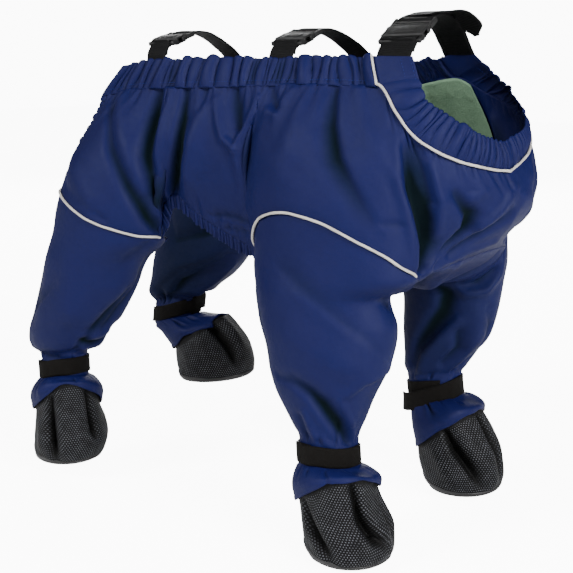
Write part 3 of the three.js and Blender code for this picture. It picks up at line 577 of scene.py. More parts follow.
# ------------------------------------------------------------------------------------------- finishes
@dataclass
class NodeBoard:
    """A node tree being filled, from left to right."""

    tree: bpy.types.NodeTree

    def add(self, kind: str, **settings: object) -> bpy.types.Node:
        """Args:
        kind: the node's type.
        settings: its properties; a name that is a socket's, with spaces as underscores, fills that socket.

        Returns:
            The node.
        """
        node = self.tree.nodes.new(kind)
        for name, value in settings.items():
            if hasattr(node, name):
                setattr(node, name, value)
            else:
                self.feed(node.inputs[name.replace("_", " ")], value)
        return node

    def feed(self, socket: Socket, value: object) -> None:
        """Args:
        socket: an input.
        value: an output to link to it, or its value.
        """
        if isinstance(value, Socket):
            self.tree.links.new(value, socket)
        else:
            socket.default_value = value

    def work(self, node: bpy.types.Node, values: tuple[object, ...]) -> bpy.types.Node:
        """Args:
        node: a node.
        values: what its first inputs get.

        Returns:
            The node.
        """
        for socket, value in zip(node.inputs, values):
            self.feed(socket, value)
        return node

    def math(self, operation: str, *values: object, clamp: bool = False) -> Socket:
        """Returns: the result of an operation on numbers, kept from 0 to 1 if clamped."""
        return self.work(self.add("ShaderNodeMath", operation=operation, use_clamp=clamp), values).outputs[0]

    def vector(self, operation: str, *values: object) -> Socket:
        """Returns: the result of an operation on vectors, a number for LENGTH."""
        node = self.work(self.add("ShaderNodeVectorMath", operation=operation), values)
        return node.outputs["Value" if operation == "LENGTH" else "Vector"]

    def weigh(self, *terms: tuple[Socket, float], plus: float = 0.0) -> Socket:
        """Args:
        terms: numbers, each with its weight.
        plus: what is added to them.

        Returns:
            Their weighted sum.
        """
        total = plus
        for value, weight in terms:
            total = self.math("MULTIPLY_ADD", value, weight, total)
        return total

    def blend(self, share: Socket, low: object, high: object) -> Socket:
        """Args:
        share: 0 gives low and 1 gives high.
        low: a colour.
        high: a colour.

        Returns:
            The mixed colour.
        """
        node = self.add("ShaderNodeMix", data_type="RGBA")
        for index, value in ((0, share), (6, low), (7, high)):
            self.feed(node.inputs[index], value)
        return node.outputs[2]

    def span(self, value: Socket, low: float, high: float, to_low: float = 0.0, to_high: float = 1.0) -> Socket:
        """Args:
        value: a number from low to high.
        low: start of its range.
        high: end of it.
        to_low: start of the result's range.
        to_high: end of it.

        Returns:
            The number carried to the other range.
        """
        return self.work(self.add("ShaderNodeMapRange"), (value, low, high, to_low, to_high)).outputs[0]


def rgb(colour: Colour) -> tuple[float, float, float, float]:
    """Returns: a colour of three numbers to 255 in linear light."""
    shares = (value / 255 for value in colour)
    return (*(v / 12.92 if v <= 0.04045 else ((v + 0.055) / 1.055) ** 2.4 for v in shares), 1.0)


class Effects:
    """The node groups that finishes share, each made once."""

    def __init__(self) -> None:
        """Makes the groups."""
        self.weave, self.cloud, self.dots = self._weave(), self._cloud(), self._dots()

    @staticmethod
    def _group(name: str, output: str, **inputs: float | None) -> tuple[NodeBoard, bpy.types.NodeInputs]:
        """Args:
        name: of the group.
        output: name of its one number.
        inputs: names with their defaults, None for a vector.

        Returns:
            The board of the empty group, and what comes into it.
        """
        tree = bpy.data.node_groups.new(name, "ShaderNodeTree")
        for label, default in inputs.items():
            kind = "NodeSocketVector" if default is None else "NodeSocketFloat"
            socket = tree.interface.new_socket(label, in_out="INPUT", socket_type=kind)
            if default is not None:
                socket.default_value = default
        tree.interface.new_socket(output, in_out="OUTPUT", socket_type="NodeSocketFloat")
        board = NodeBoard(tree)
        return board, board.add("NodeGroupInput").outputs

    def _weave(self) -> bpy.types.NodeTree:
        """Returns: a plain weave, threads over and under by turns, on a map in metres."""
        board, into = self._group("plain weave", "Height", Map=None, Thread=0.0005, Slant=0.0)
        split = board.add("ShaderNodeSeparateXYZ", Vector=into["Map"]).outputs
        leaned = board.math("MULTIPLY_ADD", split[1], into["Slant"], split[0])
        waves_of = [
            board.math("SINE", board.math("MULTIPLY", board.math("DIVIDE", value, into["Thread"]), math.pi))
            for value in (leaned, split[1])
        ]
        warp, weft = (board.math("ABSOLUTE", wave) for wave in waves_of)
        pick = board.span(board.math("MULTIPLY", *(board.math("SIGN", wave) for wave in waves_of)), -1.0, 1.0)
        under = board.math("MULTIPLY", weft, board.math("SUBTRACT", 1.0, pick))
        board.add("NodeGroupOutput", Height=board.math("MULTIPLY_ADD", warp, pick, under))
        return board.tree

    def _cloud(self) -> bpy.types.NodeTree:
        """Returns: soft unevenness, from 0 to 1."""
        board, into = self._group("soft unevenness", "Amount", Place=None, Size=0.02, Detail=2.0)
        scale = board.math("DIVIDE", 1.0, into["Size"])
        noise = board.add("ShaderNodeTexNoise", Vector=into["Place"], Detail=into["Detail"], Scale=scale)
        board.add("NodeGroupOutput", Amount=board.span(noise.outputs[0], 0.3, 0.7))
        return board.tree

    def _dots(self) -> bpy.types.NodeTree:
        """Returns: round dots in staggered rows, on a map in metres."""
        board, into = self._group("staggered dots", "Dot", Map=None, Spacing=0.003, Radius=0.3)
        tall = math.sqrt(3.0)
        cell_size = board.add("ShaderNodeVectorMath", operation="SCALE", Scale=into["Spacing"])
        board.feed(cell_size.inputs[0], (1.0, tall, 1.0))
        scaled = board.vector("DIVIDE", into["Map"], cell_size.outputs[0])
        gaps = []
        for shift in (0.0, 0.5):
            cell = board.vector("FRACTION", board.vector("ADD", scaled, (shift, shift, 0.0)))
            off = board.vector("MULTIPLY", board.vector("SUBTRACT", cell, (0.5, 0.5, 0.0)), (1.0, tall, 0.0))
            gaps.append(board.vector("LENGTH", off))
        near = board.math("SUBTRACT", into["Radius"], board.math("MINIMUM", *gaps))
        board.add("NodeGroupOutput", Dot=board.math("DIVIDE", near, 0.08, clamp=True))
        return board.tree


class Surface:
    """A material being made, with the places and effects that finishes read."""

    def __init__(self, name: str, effects: Effects) -> None:
        """Args:
        name: of the material.
        effects: the shared groups.
        """
        self.effects, self.material = effects, bpy.data.materials.new(name)
        self.material.use_nodes = True
        self.material.node_tree.nodes.clear()
        self.board = NodeBoard(self.material.node_tree)
        self.shader = self.board.add("ShaderNodeBsdfPrincipled")
        self.board.add("ShaderNodeOutputMaterial", Surface=self.shader.outputs[0])
        coordinates = self.board.add("ShaderNodeTexCoord").outputs
        self.map, self.place = coordinates["UV"], coordinates["Object"]

    def effect(self, tree: bpy.types.NodeTree, **values: object) -> Socket:
        """Returns: the output of one of the shared groups, with values for its inputs."""
        return self.board.add("ShaderNodeGroup", node_tree=tree, **values).outputs[0]

    def weave(self, thread: float, slant: float = 0.0) -> Socket:
        """Returns: the height of a weave whose threads are so many metres wide, and lean by slant."""
        return self.effect(self.effects.weave, Map=self.map, Thread=thread, Slant=slant)

    def cloud(self, size: float, detail: float = 2.0) -> Socket:
        """Returns: unevenness of a size in metres, from 0 to 1."""
        return self.effect(self.effects.cloud, Place=self.place, Size=size, Detail=detail)

    def amount(self, layer: str) -> Socket:
        """Returns: the amount that a piece's points hold under a name."""
        return self.board.add("ShaderNodeAttribute", attribute_name=layer).outputs["Fac"]

    def cover(self, colour: Socket, roughness: Socket, shine: float, *bumps: tuple[Socket, float]) -> None:
        """Args:
        colour: the base colour.
        roughness: the roughness.
        shine: the specular level.
        bumps: heights from 0 to 1, each with its real depth in metres.
        """
        bump = self.board.add("ShaderNodeBump", Height=self.board.weigh(*bumps), Strength=1.0, Distance=1.0)
        self.shader.inputs["Specular IOR Level"].default_value = shine
        for name, value in (("Base Color", colour), ("Roughness", roughness), ("Normal", bump.outputs[0])):
            self.board.feed(self.shader.inputs[name], value)


@dataclass(frozen=True)
class Finish:
    """A material, and the name of the record's finish slot."""

    material: bpy.types.Material
    slot: str


@dataclass(frozen=True)
class Cover:
    """What every finish has.

    name: of its material.
    slot: the record's finish slot.
    base: its darker or lower tone.
    raised: its paler or higher tone.
    """

    name: str
    slot: str
    base: Colour
    raised: Colour

    def build(self, effects: Effects) -> Finish:
        """Args:
        effects: the shared groups.

        Returns:
            The finish.
        """
        surface = Surface(self.name, effects)
        self.paint(surface, surface.board)
        return Finish(surface.material, self.slot)

    def paint(self, surface: Surface, board: NodeBoard) -> None:
        """Args:
        surface: the material being made.
        board: its nodes.
        """
        raise NotImplementedError

    def tones(self, board: NodeBoard, share: Socket) -> Socket:
        """Returns: a colour from base to raised."""
        return board.blend(share, rgb(self.base), rgb(self.raised))


@dataclass(frozen=True)
class CoatedNylon(Cover):
    """Smooth coated nylon, with painted shade in the hollows of its folds."""

    # colour of the painted shade in the hollows of folds
    hollow: Colour
    rough: float
    thread: float

    def paint(self, surface: Surface, board: NodeBoard) -> None:
        """Args:
        surface: the material being made.
        board: its nodes.
        """
        deep, cloud, fine = surface.amount("hollow"), surface.cloud(0.045), surface.cloud(0.006, 3.0)
        cloth = self.tones(board, board.math("MULTIPLY", cloud, 0.45))
        # the base colour is mixed towards the painted shade colour in the hollows of folds
        surface.cover(
            board.blend(deep, cloth, rgb(self.hollow)), board.weigh((fine, 0.08), (deep, 0.45), plus=self.rough),
            0.12, (surface.weave(self.thread), 0.00004), (fine, 0.00012), (cloud, 0.0006))


@dataclass(frozen=True)
class BrushedLining(Cover):
    """Soft brushed lining."""

    def paint(self, surface: Surface, board: NodeBoard) -> None:
        """Args:
        surface: the material being made.
        board: its nodes.
        """
        nap, patch = surface.cloud(0.0016, 4.0), surface.cloud(0.02)
        surface.cover(self.tones(board, board.weigh((nap, 0.5), (patch, 0.5))),
                      board.span(nap, 0.0, 1.0, 0.85, 0.97), 0.1, (nap, 0.0003), (patch, 0.001))


@dataclass(frozen=True)
class ReflectiveTape(Cover):
    """Pale grey reflective piping with fine beads."""

    def paint(self, surface: Surface, board: NodeBoard) -> None:
        """Args:
        surface: the material being made.
        board: its nodes.
        """
        beads, worn = surface.cloud(0.0008), surface.cloud(0.012, 3.0)
        surface.cover(self.tones(board, board.weigh((beads, 0.4), (worn, 0.6))),
                      board.span(worn, 0.0, 1.0, 0.35, 0.55), 0.6, (beads, 0.00008), (worn, 0.0002))


@dataclass(frozen=True)
class WovenBand(Cover):
    """Woven webbing or ribbed elastic."""

    thread: float
    slant: float
    depth: float
    rough: float

    def paint(self, surface: Surface, board: NodeBoard) -> None:
        """Args:
        surface: the material being made.
        board: its nodes.
        """
        weave, fuzz = surface.weave(self.thread, self.slant), surface.cloud(0.003, 4.0)
        tone = board.math("MULTIPLY", weave, board.span(fuzz, 0.0, 1.0, 0.5, 1.0))
        surface.cover(self.tones(board, tone), board.weigh((fuzz, 0.12), plus=self.rough),
                      0.12, (weave, self.depth), (fuzz, 0.00015))


@dataclass(frozen=True)
class DottedRubber(Cover):
    """Charcoal boot cloth with raised glossy dots in staggered rows, and painted shade in the hollows of its folds."""

    # colour of the painted shade in the hollows of folds
    hollow: Colour
    spacing: float

    def paint(self, surface: Surface, board: NodeBoard) -> None:
        """Args:
        surface: the material being made.
        board: its nodes.
        """
        dots = surface.effect(surface.effects.dots, Map=surface.map, Spacing=self.spacing, Radius=0.27)
        shown = board.math("MULTIPLY", dots, board.math("SUBTRACT", 1.0, surface.amount("rim")))
        worn = surface.cloud(0.009, 3.0)
        cloth = self.tones(board, board.math("MULTIPLY", shown, board.span(worn, 0.0, 1.0, 0.35, 1.0)))
        # the base colour is mixed towards the painted shade colour in the hollows of folds
        surface.cover(board.blend(surface.amount("hollow"), cloth, rgb(self.hollow)),
                      board.span(shown, 0.0, 1.0, 0.66, 0.34), 0.14,
                      (shown, 0.00035), (worn, 0.0005), (surface.weave(0.0007), 0.00006))


@dataclass(frozen=True)
class SmoothRubber(Cover):
    """Plain dull black rubber or moulded plastic."""

    rough: float
    grain: float

    def paint(self, surface: Surface, board: NodeBoard) -> None:
        """Args:
        surface: the material being made.
        board: its nodes.
        """
        scuff = surface.cloud(0.008, 5.0)
        surface.cover(self.tones(board, board.math("POWER", scuff, 3.0)), board.weigh((scuff, 0.2), plus=self.rough),
                      0.5, (surface.cloud(self.grain), 0.00006), (scuff, 0.0001))


class Finishes:
    """Every finish of the suit, made once."""

    def __init__(self) -> None:
        """Makes the materials."""
        shell, effects = "shell_nylon", Effects()
        # the third colour of the nylons and of the boot cloth is painted shade for the hollows of their folds
        nylon = CoatedNylon("coated nylon, navy", shell, (8, 13, 57), (13, 18, 63), (0, 11, 17), 0.53, 0.0006)
        thread = CoatedNylon("navy thread", shell, (26, 36, 96), (34, 44, 106), (8, 12, 30), 0.6, 0.0003)
        lining = BrushedLining("brushed lining, sage", "lining", (84, 108, 88), (104, 130, 106))
        tape = ReflectiveTape("reflective piping", "reflective_piping", (150, 146, 140), (190, 186, 180))
        webbing = WovenBand("black webbing", "webbing", (3, 3, 4), (13, 13, 14), 0.0013, 1.0, 0.00025, 0.6)
        elastic = WovenBand("ankle elastic, black", "ankle_elastic", (4, 3, 2), (13, 10, 8), 0.0011, 0.0, 0.0003, 0.75)
        boot = DottedRubber("boot cloth with rubber dots", "boot_mesh", (3, 3, 4), (86, 88, 94), (2, 2, 2), 0.0029)
        sole = SmoothRubber("sole rubber", "boot_sole", (6, 6, 7), (18, 18, 20), 0.42, 0.0012)
        plastic = SmoothRubber("moulded plastic, black", "buckle_plastic", (3, 3, 4), (9, 9, 10), 0.5, 0.0007)
        self.nylon, self.thread, self.lining = (cover.build(effects) for cover in (nylon, thread, lining))
        self.tape, self.webbing, self.elastic = (cover.build(effects) for cover in (tape, webbing, elastic))
        self.boot, self.sole, self.plastic = (cover.build(effects) for cover in (boot, sole, plastic))


@dataclass
class Part:
    """A part of the suit, with the finishes that it is made in."""

    finishes: Finishes


# ------------------------------------------------------------------------------------------- meshes
class Held(Enum):
    """How a cut of cloth is held in the suit."""

    GATHERED = "gathered"
    LAID = "laid"
    STRETCHED = "stretched"
    FOLDED = "folded"
    HUNG = "hung"


@dataclass(frozen=True)
class Cut:
    """The flat cut of a sheet of cloth, in millimetres.

    wide: of the rectangle that it is cut from; not used.
    long: of the same; not used.
    share: of the rectangle that the cut fills; not used.
    held: how it is held now.
    """

    wide: float
    long: float
    share: float = 1.0
    held: Held = Held.GATHERED


def dress(made: Piece, nodes: list[str]) -> Piece:
    """Fixes a piece to the suit's body, hides the CAD nodes it replaces and logs its face count.

    Args:
        made: the piece.
        nodes: the CAD nodes it replaces.

    Returns:
        The piece.
    """
    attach(made, "root")
    if nodes:
        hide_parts(*nodes)
    LOG.info("%s: %d faces", made.name, len(made.data.polygons))
    return made


def to_row(places: Array) -> Array:
    """Returns: millimetres in the standing frame as metres in the row frame."""
    return (places - ROW_ORIGIN) * 0.001


def grid_normals(places: Array, closed: bool, inside: Array) -> Array:
    """Args:
    places: (rows, columns, 3).
    closed: whether the last column lies on the first.
    inside: a place that the cloth faces away from.

    Returns:
        Outward normals of the grid.
    """
    across = np.gradient(places, axis=1)
    if closed:
        across[:, 0] = across[:, -1] = (places[:, 1] - places[:, -2]) / 2
    normals = unit(np.cross(across, np.gradient(places, axis=0)))
    return normals if np.sum(normals * (places - inside)) > 0 else -normals


def link_mesh(bm: bmesh.types.BMesh, name: str, material: bpy.types.Material) -> Piece:
    """Args:
    bm: the mesh, which is freed.
    name: the object's name.
    material: its finish.

    Returns:
        The smooth object, linked to the scene at the origin.
    """
    for face in bm.faces:
        face.smooth = True
    mesh = bpy.data.meshes.new(name)
    bm.to_mesh(mesh)
    bm.free()
    mesh.materials.append(material)
    made = bpy.data.objects.new("sewn_" + name, mesh)
    bpy.context.scene.collection.objects.link(made)
    return made


def add_thickness(made: Piece, thickness: float) -> None:
    """Args:
    made: a sheet.
    thickness: in millimetres, half each way.
    """
    modifier = made.modifiers.new("thickness", "SOLIDIFY")
    modifier.thickness = thickness * 0.001
    modifier.offset = 0.0
    modifier.use_even_offset = False


def grid_mesh(places: Array, along: Array, up: Array, layers: dict[str, Array]) -> bmesh.types.BMesh:
    """Args:
    places: (rows, columns, 3) in millimetres.
    along: the map's place across, in metres, of each column.
    up: the map's place up, in metres, of each point.
    layers: amounts of each point, by name.

    Returns:
        The mesh, with the points that lie on each other merged.
    """
    rows, columns = places.shape[:2]
    bm = bmesh.new()
    uv_layer = bm.loops.layers.uv.new("UVMap")
    held = [(bm.verts.layers.float.new(name), amounts) for name, amounts in layers.items()]
    bmesh.ops.create_grid(bm, x_segments=columns - 1, y_segments=rows - 1, size=0.5)
    placed = to_row(places)
    for vert in bm.verts:
        spot = (round((vert.co.y + 0.5) * (rows - 1)), round((vert.co.x + 0.5) * (columns - 1)))
        vert.co = placed[spot]
        for layer, amounts in held:
            vert[layer] = float(amounts[spot])
        for loop in vert.link_loops:
            loop[uv_layer].uv = (along[spot[1]], up[spot])
    bmesh.ops.remove_doubles(bm, verts=bm.verts, dist=2e-6)
    return bm


def close_holes(bm: bmesh.types.BMesh, edges: list[bmesh.types.BMEdge]) -> None:
    """Closes the holes that open edges run round."""
    bmesh.ops.holes_fill(bm, edges=edges, sides=0)


@dataclass
class GridMesh:
    """A mesh on a grid of places.

    name: of the piece, and of the CAD node that it stands for.
    places: (rows, columns, 3) in millimetres.
    inside: a place that its faces look away from.
    layers: amounts of each point that its finish reads, by name, such as how much painted shade it gets in a fold.
    """

    name: str
    places: Array
    inside: Array
    layers: dict[str, Array] = field(default_factory=dict)

    def build(self, finish: Finish) -> Piece:
        """Args:
        finish: its finish.

        Returns:
            The object, at the origin, with no thickness.
        """
        wide = np.linalg.norm(np.diff(self.places, axis=1), axis=2).mean(axis=0)
        tall = lengths(np.diff(self.places[::-1], axis=0))
        tall = np.concatenate([np.zeros((1, tall.shape[1])), np.cumsum(tall, axis=0)])[::-1]
        along = np.concatenate([[0.0], np.cumsum(wide)])
        bm = grid_mesh(self.places, along * 0.001, tall * 0.001, self.layers)
        bmesh.ops.recalc_face_normals(bm, faces=bm.faces)
        centre = Vector(to_row(self.inside))
        if sum(f.normal.dot(f.calc_center_median() - centre) * f.calc_area() for f in bm.faces) < 0:
            bmesh.ops.reverse_faces(bm, faces=bm.faces)
        return link_mesh(bm, self.name, finish.material)

    def sew(self, finish: Finish, thickness: float, stands: bool = True) -> Piece:
        """Args:
        finish: its finish.
        thickness: of the cloth in millimetres.
        stands: whether it stands for the CAD node of its name.

        Returns:
            The sheet of cloth, dressed.
        """
        made = self.build(finish)
        add_thickness(made, thickness)
        return dress(made, [self.name] if stands else [])


@dataclass
class StitchRow(Part):
    """A row of lockstitches standing on a cloth.

    line: points of the row, in millimetres.
    outs: outward directions there.
    """

    name: str
    line: Array
    outs: Array
    pitch: float = 3.2
    size: Triple = (2.3, 0.55, 0.55)
    heading: float = 0.5

    def build(self) -> Piece:
        """Returns: the row as one mesh."""
        at = arc_lengths(self.line)
        bm = bmesh.new()

        def read(rows: Array, where: float) -> Array:
            """Returns: the row of numbers at a distance along the line."""
            return np.array([np.interp(where, at, column) for column in rows.T])

        count = max(2, int(at[-1] / self.pitch))
        for centre in np.linspace(self.pitch / 2, at[-1] - self.pitch / 2, count):
            along = unit(read(self.line, centre + self.heading) - read(self.line, centre - self.heading))
            across = unit(np.cross(unit(read(self.outs, centre)), along))
            turn = Matrix((along, across, np.cross(along, across))).transposed().to_4x4()
            size = Matrix.Diagonal((*(side * 0.001 for side in self.size), 1.0))
            place = Matrix.Translation(Vector(to_row(read(self.line, centre))))
            bmesh.ops.create_icosphere(bm, subdivisions=1, radius=0.5, matrix=place @ turn @ size)
        return dress(link_mesh(bm, self.name, self.finishes.thread.material), [])


@dataclass
class Piping(Part):
    """A thin round cord in a folded tape, along a seam.

    line: its middle, (n, 3).
    outs: outward directions there.
    """

    name: str
    line: Array
    outs: Array
    radius: float = 1.4
    around: int = 10

    def build(self) -> Piece:
        """Returns: the piping, a closed tube."""
        ahead = unit(np.gradient(self.line, axis=0))
        out = unit(self.outs - ahead * np.sum(self.outs * ahead, axis=1, keepdims=True))
        across = np.cross(ahead, out)
        turn = np.linspace(0, 2 * np.pi, self.around + 1)[:, None, None]
        at = arc_lengths(self.line)
        swell = self.radius * (1 + 0.05 * waves(at, 81, 9, 40))
        centre = self.line + across * (0.25 * waves(at, 82, 18, 70))[:, None]
        places = centre[None] + (np.cos(turn) * out[None] + np.sin(turn) * across[None]) * swell[None, :, None]
        long, girth = (float(arc_lengths(line)[-1]) * 0.001 for line in (places[0], places[:, 0]))
        along = np.linspace(0, long, len(at))
        up = np.broadcast_to(np.linspace(0, girth, len(turn))[:, None], places.shape[:2])
        bm = grid_mesh(places, along, up, {})
        close_holes(bm, [edge for edge in bm.edges if edge.is_boundary])
        bmesh.ops.recalc_face_normals(bm, faces=bm.faces)
        tape = self.finishes.tape
        return dress(link_mesh(bm, self.name, tape.material), [self.name])


# ------------------------------------------------------------------------------------------- body
NEAR_FOLDS = (
    Fold(((0.22, 0.04, -2.5, 8), (0.35, 0.17, -4, 8), (0.57, 0.44, -6.5, 9), (0.73, 0.67, -8, 9),
          (0.87, 0.87, -9, 9),
          (0.97, 0.97, -6, 7)), 0.3),
    Fold(((0.42, 0.10, 3, 12), (0.62, 0.36, 5, 14), (0.80, 0.60, 5, 12), (0.93, 0.82, 3, 9))),
    Fold(((0.88, 0.02, -5, 6), (0.86, 0.20, -10, 8), (0.84, 0.44, -11, 9), (0.92, 0.70, -11, 9),
          (1.07, 0.93, -6, 7)), -0.3),
    Fold(((1.03, 0.03, 4, 7), (1.02, 0.35, 6, 8), (1.05, 0.62, 6, 7), (1.12, 0.86, 3, 6))),
    Fold(((1.20, 0.02, -5, 5), (1.25, 0.26, -9, 7), (1.27, 0.52, -11, 8), (1.24, 0.74, -10, 7),
          (1.19, 0.93, -5, 6)), 0.35),
    Fold(((1.41, 0.01, -3.5, 5), (1.43, 0.16, -1.5, 5))),
    Fold(((1.47, 0.16, 3, 9), (1.42, 0.42, 6, 12), (1.40, 0.68, 5, 12), (1.36, 0.88, 2, 8))),
    Fold(((1.57, 0.10, 2, 6), (1.66, 0.24, 4.5, 6), (1.73, 0.33, 4.8, 5), (1.87, 0.37, 5.5, 5),
          (1.95, 0.22, 4.5, 4.5),
          (2.01, 0.08, 2.5, 4.5))),
    Fold(((1.74, 0.04, -4, 8), (1.80, 0.13, -6, 8), (1.87, 0.25, -6, 5))),
    Fold(((1.88, 0.39, 3, 6), (1.93, 0.52, 2.5, 7), (2.02, 0.72, 1, 8))),
    Fold(((1.99, 0.24, -2.5, 8), (1.97, 0.42, -4, 9), (1.98, 0.62, -2, 10)), 0.2),
    Fold(((2.08, 0.01, -2.5, 5), (2.16, 0.11, -3.5, 6), (2.23, 0.18, -3, 5))),
    Fold(((2.09, 0.16, 2, 6), (2.23, 0.22, 3, 5), (2.27, 0.05, 2, 5))),
    Fold(((1.62, 0.88, -2.5, 4), (1.78, 0.82, -3.5, 4.5), (1.95, 0.80, -3, 4)), 0.4),
    Fold(((1.72, 0.93, -2, 3.5), (1.86, 0.88, -2.5, 4), (1.97, 0.86, -1.5, 4))),
    Fold(((2.36, 0.03, 2, 9), (2.40, 0.35, 2.5, 14), (2.38, 0.70, 1.5, 15))),
    Fold(((2.55, 0.04, -4, 6), (2.57, 0.29, -7.5, 8), (2.61, 0.51, -7, 9), (2.69, 0.72, -4.5, 10),
          (2.76, 0.86, -1, 9)), -0.4),
    Fold(((2.67, 0.04, 2.5, 6), (2.71, 0.25, 2, 8), (2.78, 0.42, 1, 9))),
    Fold(((2.88, 0.20, -1.2, 5), (2.93, 0.40, -1.8, 5))),
    Fold(((2.80, 0.80, -1.5, 3.5), (2.90, 0.72, -2, 3.5))),
    Fold(((2.92, 0.20, 2.5, 6), (2.93, 0.42, 5, 7), (2.97, 0.70, 5, 7), (2.99, 0.92, 3, 6))),
    Fold(((3.02, 0.20, -4, 7), (3.03, 0.42, -11, 9), (3.12, 0.62, -15, 11), (3.16, 0.78, -15, 10),
          (3.06, 0.95, -9, 7)), 0.25),
    Fold(((3.20, 0.08, -2.5, 6), (3.24, 0.26, -5, 6), (3.26, 0.44, -3, 5))),
    Fold(((3.33, 0.14, 3, 7), (3.36, 0.42, 5.5, 7), (3.28, 0.70, 5, 6.5), (3.12, 0.94, 3, 5))),
    Fold(((3.50, 0.34, -4, 6), (3.60, 0.52, -9, 8), (3.58, 0.66, -10, 8), (3.44, 0.80, -8, 7),
          (3.22, 0.96, -4, 5)), 0.3),
    Fold(((3.62, 0.06, 1.5, 8), (3.72, 0.24, 3, 7), (3.62, 0.36, 3, 6))),
    Fold(((3.02, 1.0, 3, 4), (3.34, 0.88, 5.5, 5), (3.68, 0.62, 5.5, 5.5), (3.86, 0.40, 4, 6),
          (3.98, 0.20, 2, 7)), -0.4),
    Fold(((3.44, 0.90, -3, 5), (3.72, 0.72, -5, 6), (3.92, 0.52, -3.5, 7), (4.05, 0.36, -1.5, 7)), 0.2),
    Fold(((3.10, 1.0, 2, 4), (3.55, 0.93, 3.5, 5), (3.98, 0.82, 3, 6))),
    Fold(((0.12, 0.55, 1.5, 9), (0.30, 0.72, 2.5, 12), (0.52, 0.86, 2, 10))),
    Fold(((0.30, 0.90, -1.2, 5), (0.62, 0.95, -1.8, 5))),
)

FAR_FOLDS = (
    Fold(((0.26, 0.05, -2.5, 8), (0.40, 0.22, -5, 9), (0.60, 0.50, -7, 10), (0.80, 0.80, -8, 9),
          (0.94, 0.96, -5, 7)), -0.3),
    Fold(((0.50, 0.12, 3, 12), (0.70, 0.42, 5, 13), (0.88, 0.74, 3, 10))),
    Fold(((0.96, 0.03, -4, 6), (0.93, 0.30, -9, 8), (0.95, 0.60, -10, 9), (1.10, 0.92, -5, 7)), 0.3),
    Fold(((1.12, 0.05, 3, 7), (1.10, 0.40, 5, 8), (1.14, 0.80, 3, 7))),
    Fold(((1.30, 0.02, -4, 6), (1.33, 0.30, -8, 8), (1.30, 0.62, -9, 8), (1.24, 0.90, -4, 6)), -0.3),
    Fold(((1.50, 0.10, 3, 10), (1.46, 0.50, 5, 13), (1.44, 0.84, 2.5, 10))),
    Fold(((1.66, 0.03, -3, 7), (1.70, 0.20, -4.5, 7), (1.64, 0.38, -2, 8))),
    Fold(((1.84, 0.06, 2.5, 7), (1.92, 0.30, 3.5, 7), (1.88, 0.52, 2, 9))),
    Fold(((2.04, 0.02, -3, 6), (2.06, 0.22, -4, 8), (2.02, 0.46, -2.5, 9)), 0.2),
    Fold(((1.70, 0.90, -2.5, 4), (1.86, 0.84, -3, 4.5), (1.97, 0.83, -2, 4))),
    Fold(((2.30, 0.03, 2, 8), (2.36, 0.40, 2.5, 13), (2.42, 0.72, 1.5, 14))),
    Fold(((2.52, 0.03, -3, 7), (2.50, 0.30, -4, 10), (2.58, 0.62, -3, 11)), 0.4),
    Fold(((2.72, 0.10, 2, 8), (2.80, 0.50, 3, 10), (2.92, 0.86, 2, 8))),
    Fold(((3.02, 0.18, -3, 7), (3.06, 0.45, -9, 9), (3.14, 0.74, -11, 9), (3.06, 0.95, -6, 7)), -0.25),
    Fold(((3.24, 0.10, 2.5, 7), (3.30, 0.42, 4, 8), (3.20, 0.82, 3.5, 7))),
    Fold(((3.44, 0.12, -3, 7), (3.50, 0.36, -6, 8), (3.46, 0.62, -7, 8), (3.26, 0.92, -4, 6)), -0.2),
    Fold(((3.08, 0.98, 3, 4), (3.42, 0.80, 4, 6), (3.72, 0.56, 4, 7), (3.92, 0.34, 2.5, 8))),
    Fold(((3.66, 0.20, -2, 7), (3.76, 0.42, -3.5, 8), (3.70, 0.70, -2.5, 8))),
)

CHEST_FOLDS = (
    Fold(((0.10, 0.02, -2.5, 7), (0.30, 0.25, -5, 9), (0.52, 0.45, -3, 10))),
    Fold(((0.30, 0.02, 2, 8), (0.46, 0.28, 3.5, 9), (0.60, 0.60, 2, 10))),
    Fold(((0.88, 0.04, -2, 7), (0.70, 0.26, -4.5, 9), (0.56, 0.50, -3, 9))),
    Fold(((0.12, 0.60, 2, 8), (0.34, 0.72, 3, 9), (0.60, 0.80, 2, 9))),
    Fold(((0.80, 0.55, -2, 7), (0.66, 0.74, -3.5, 8), (0.60, 0.90, -2, 6))),
)


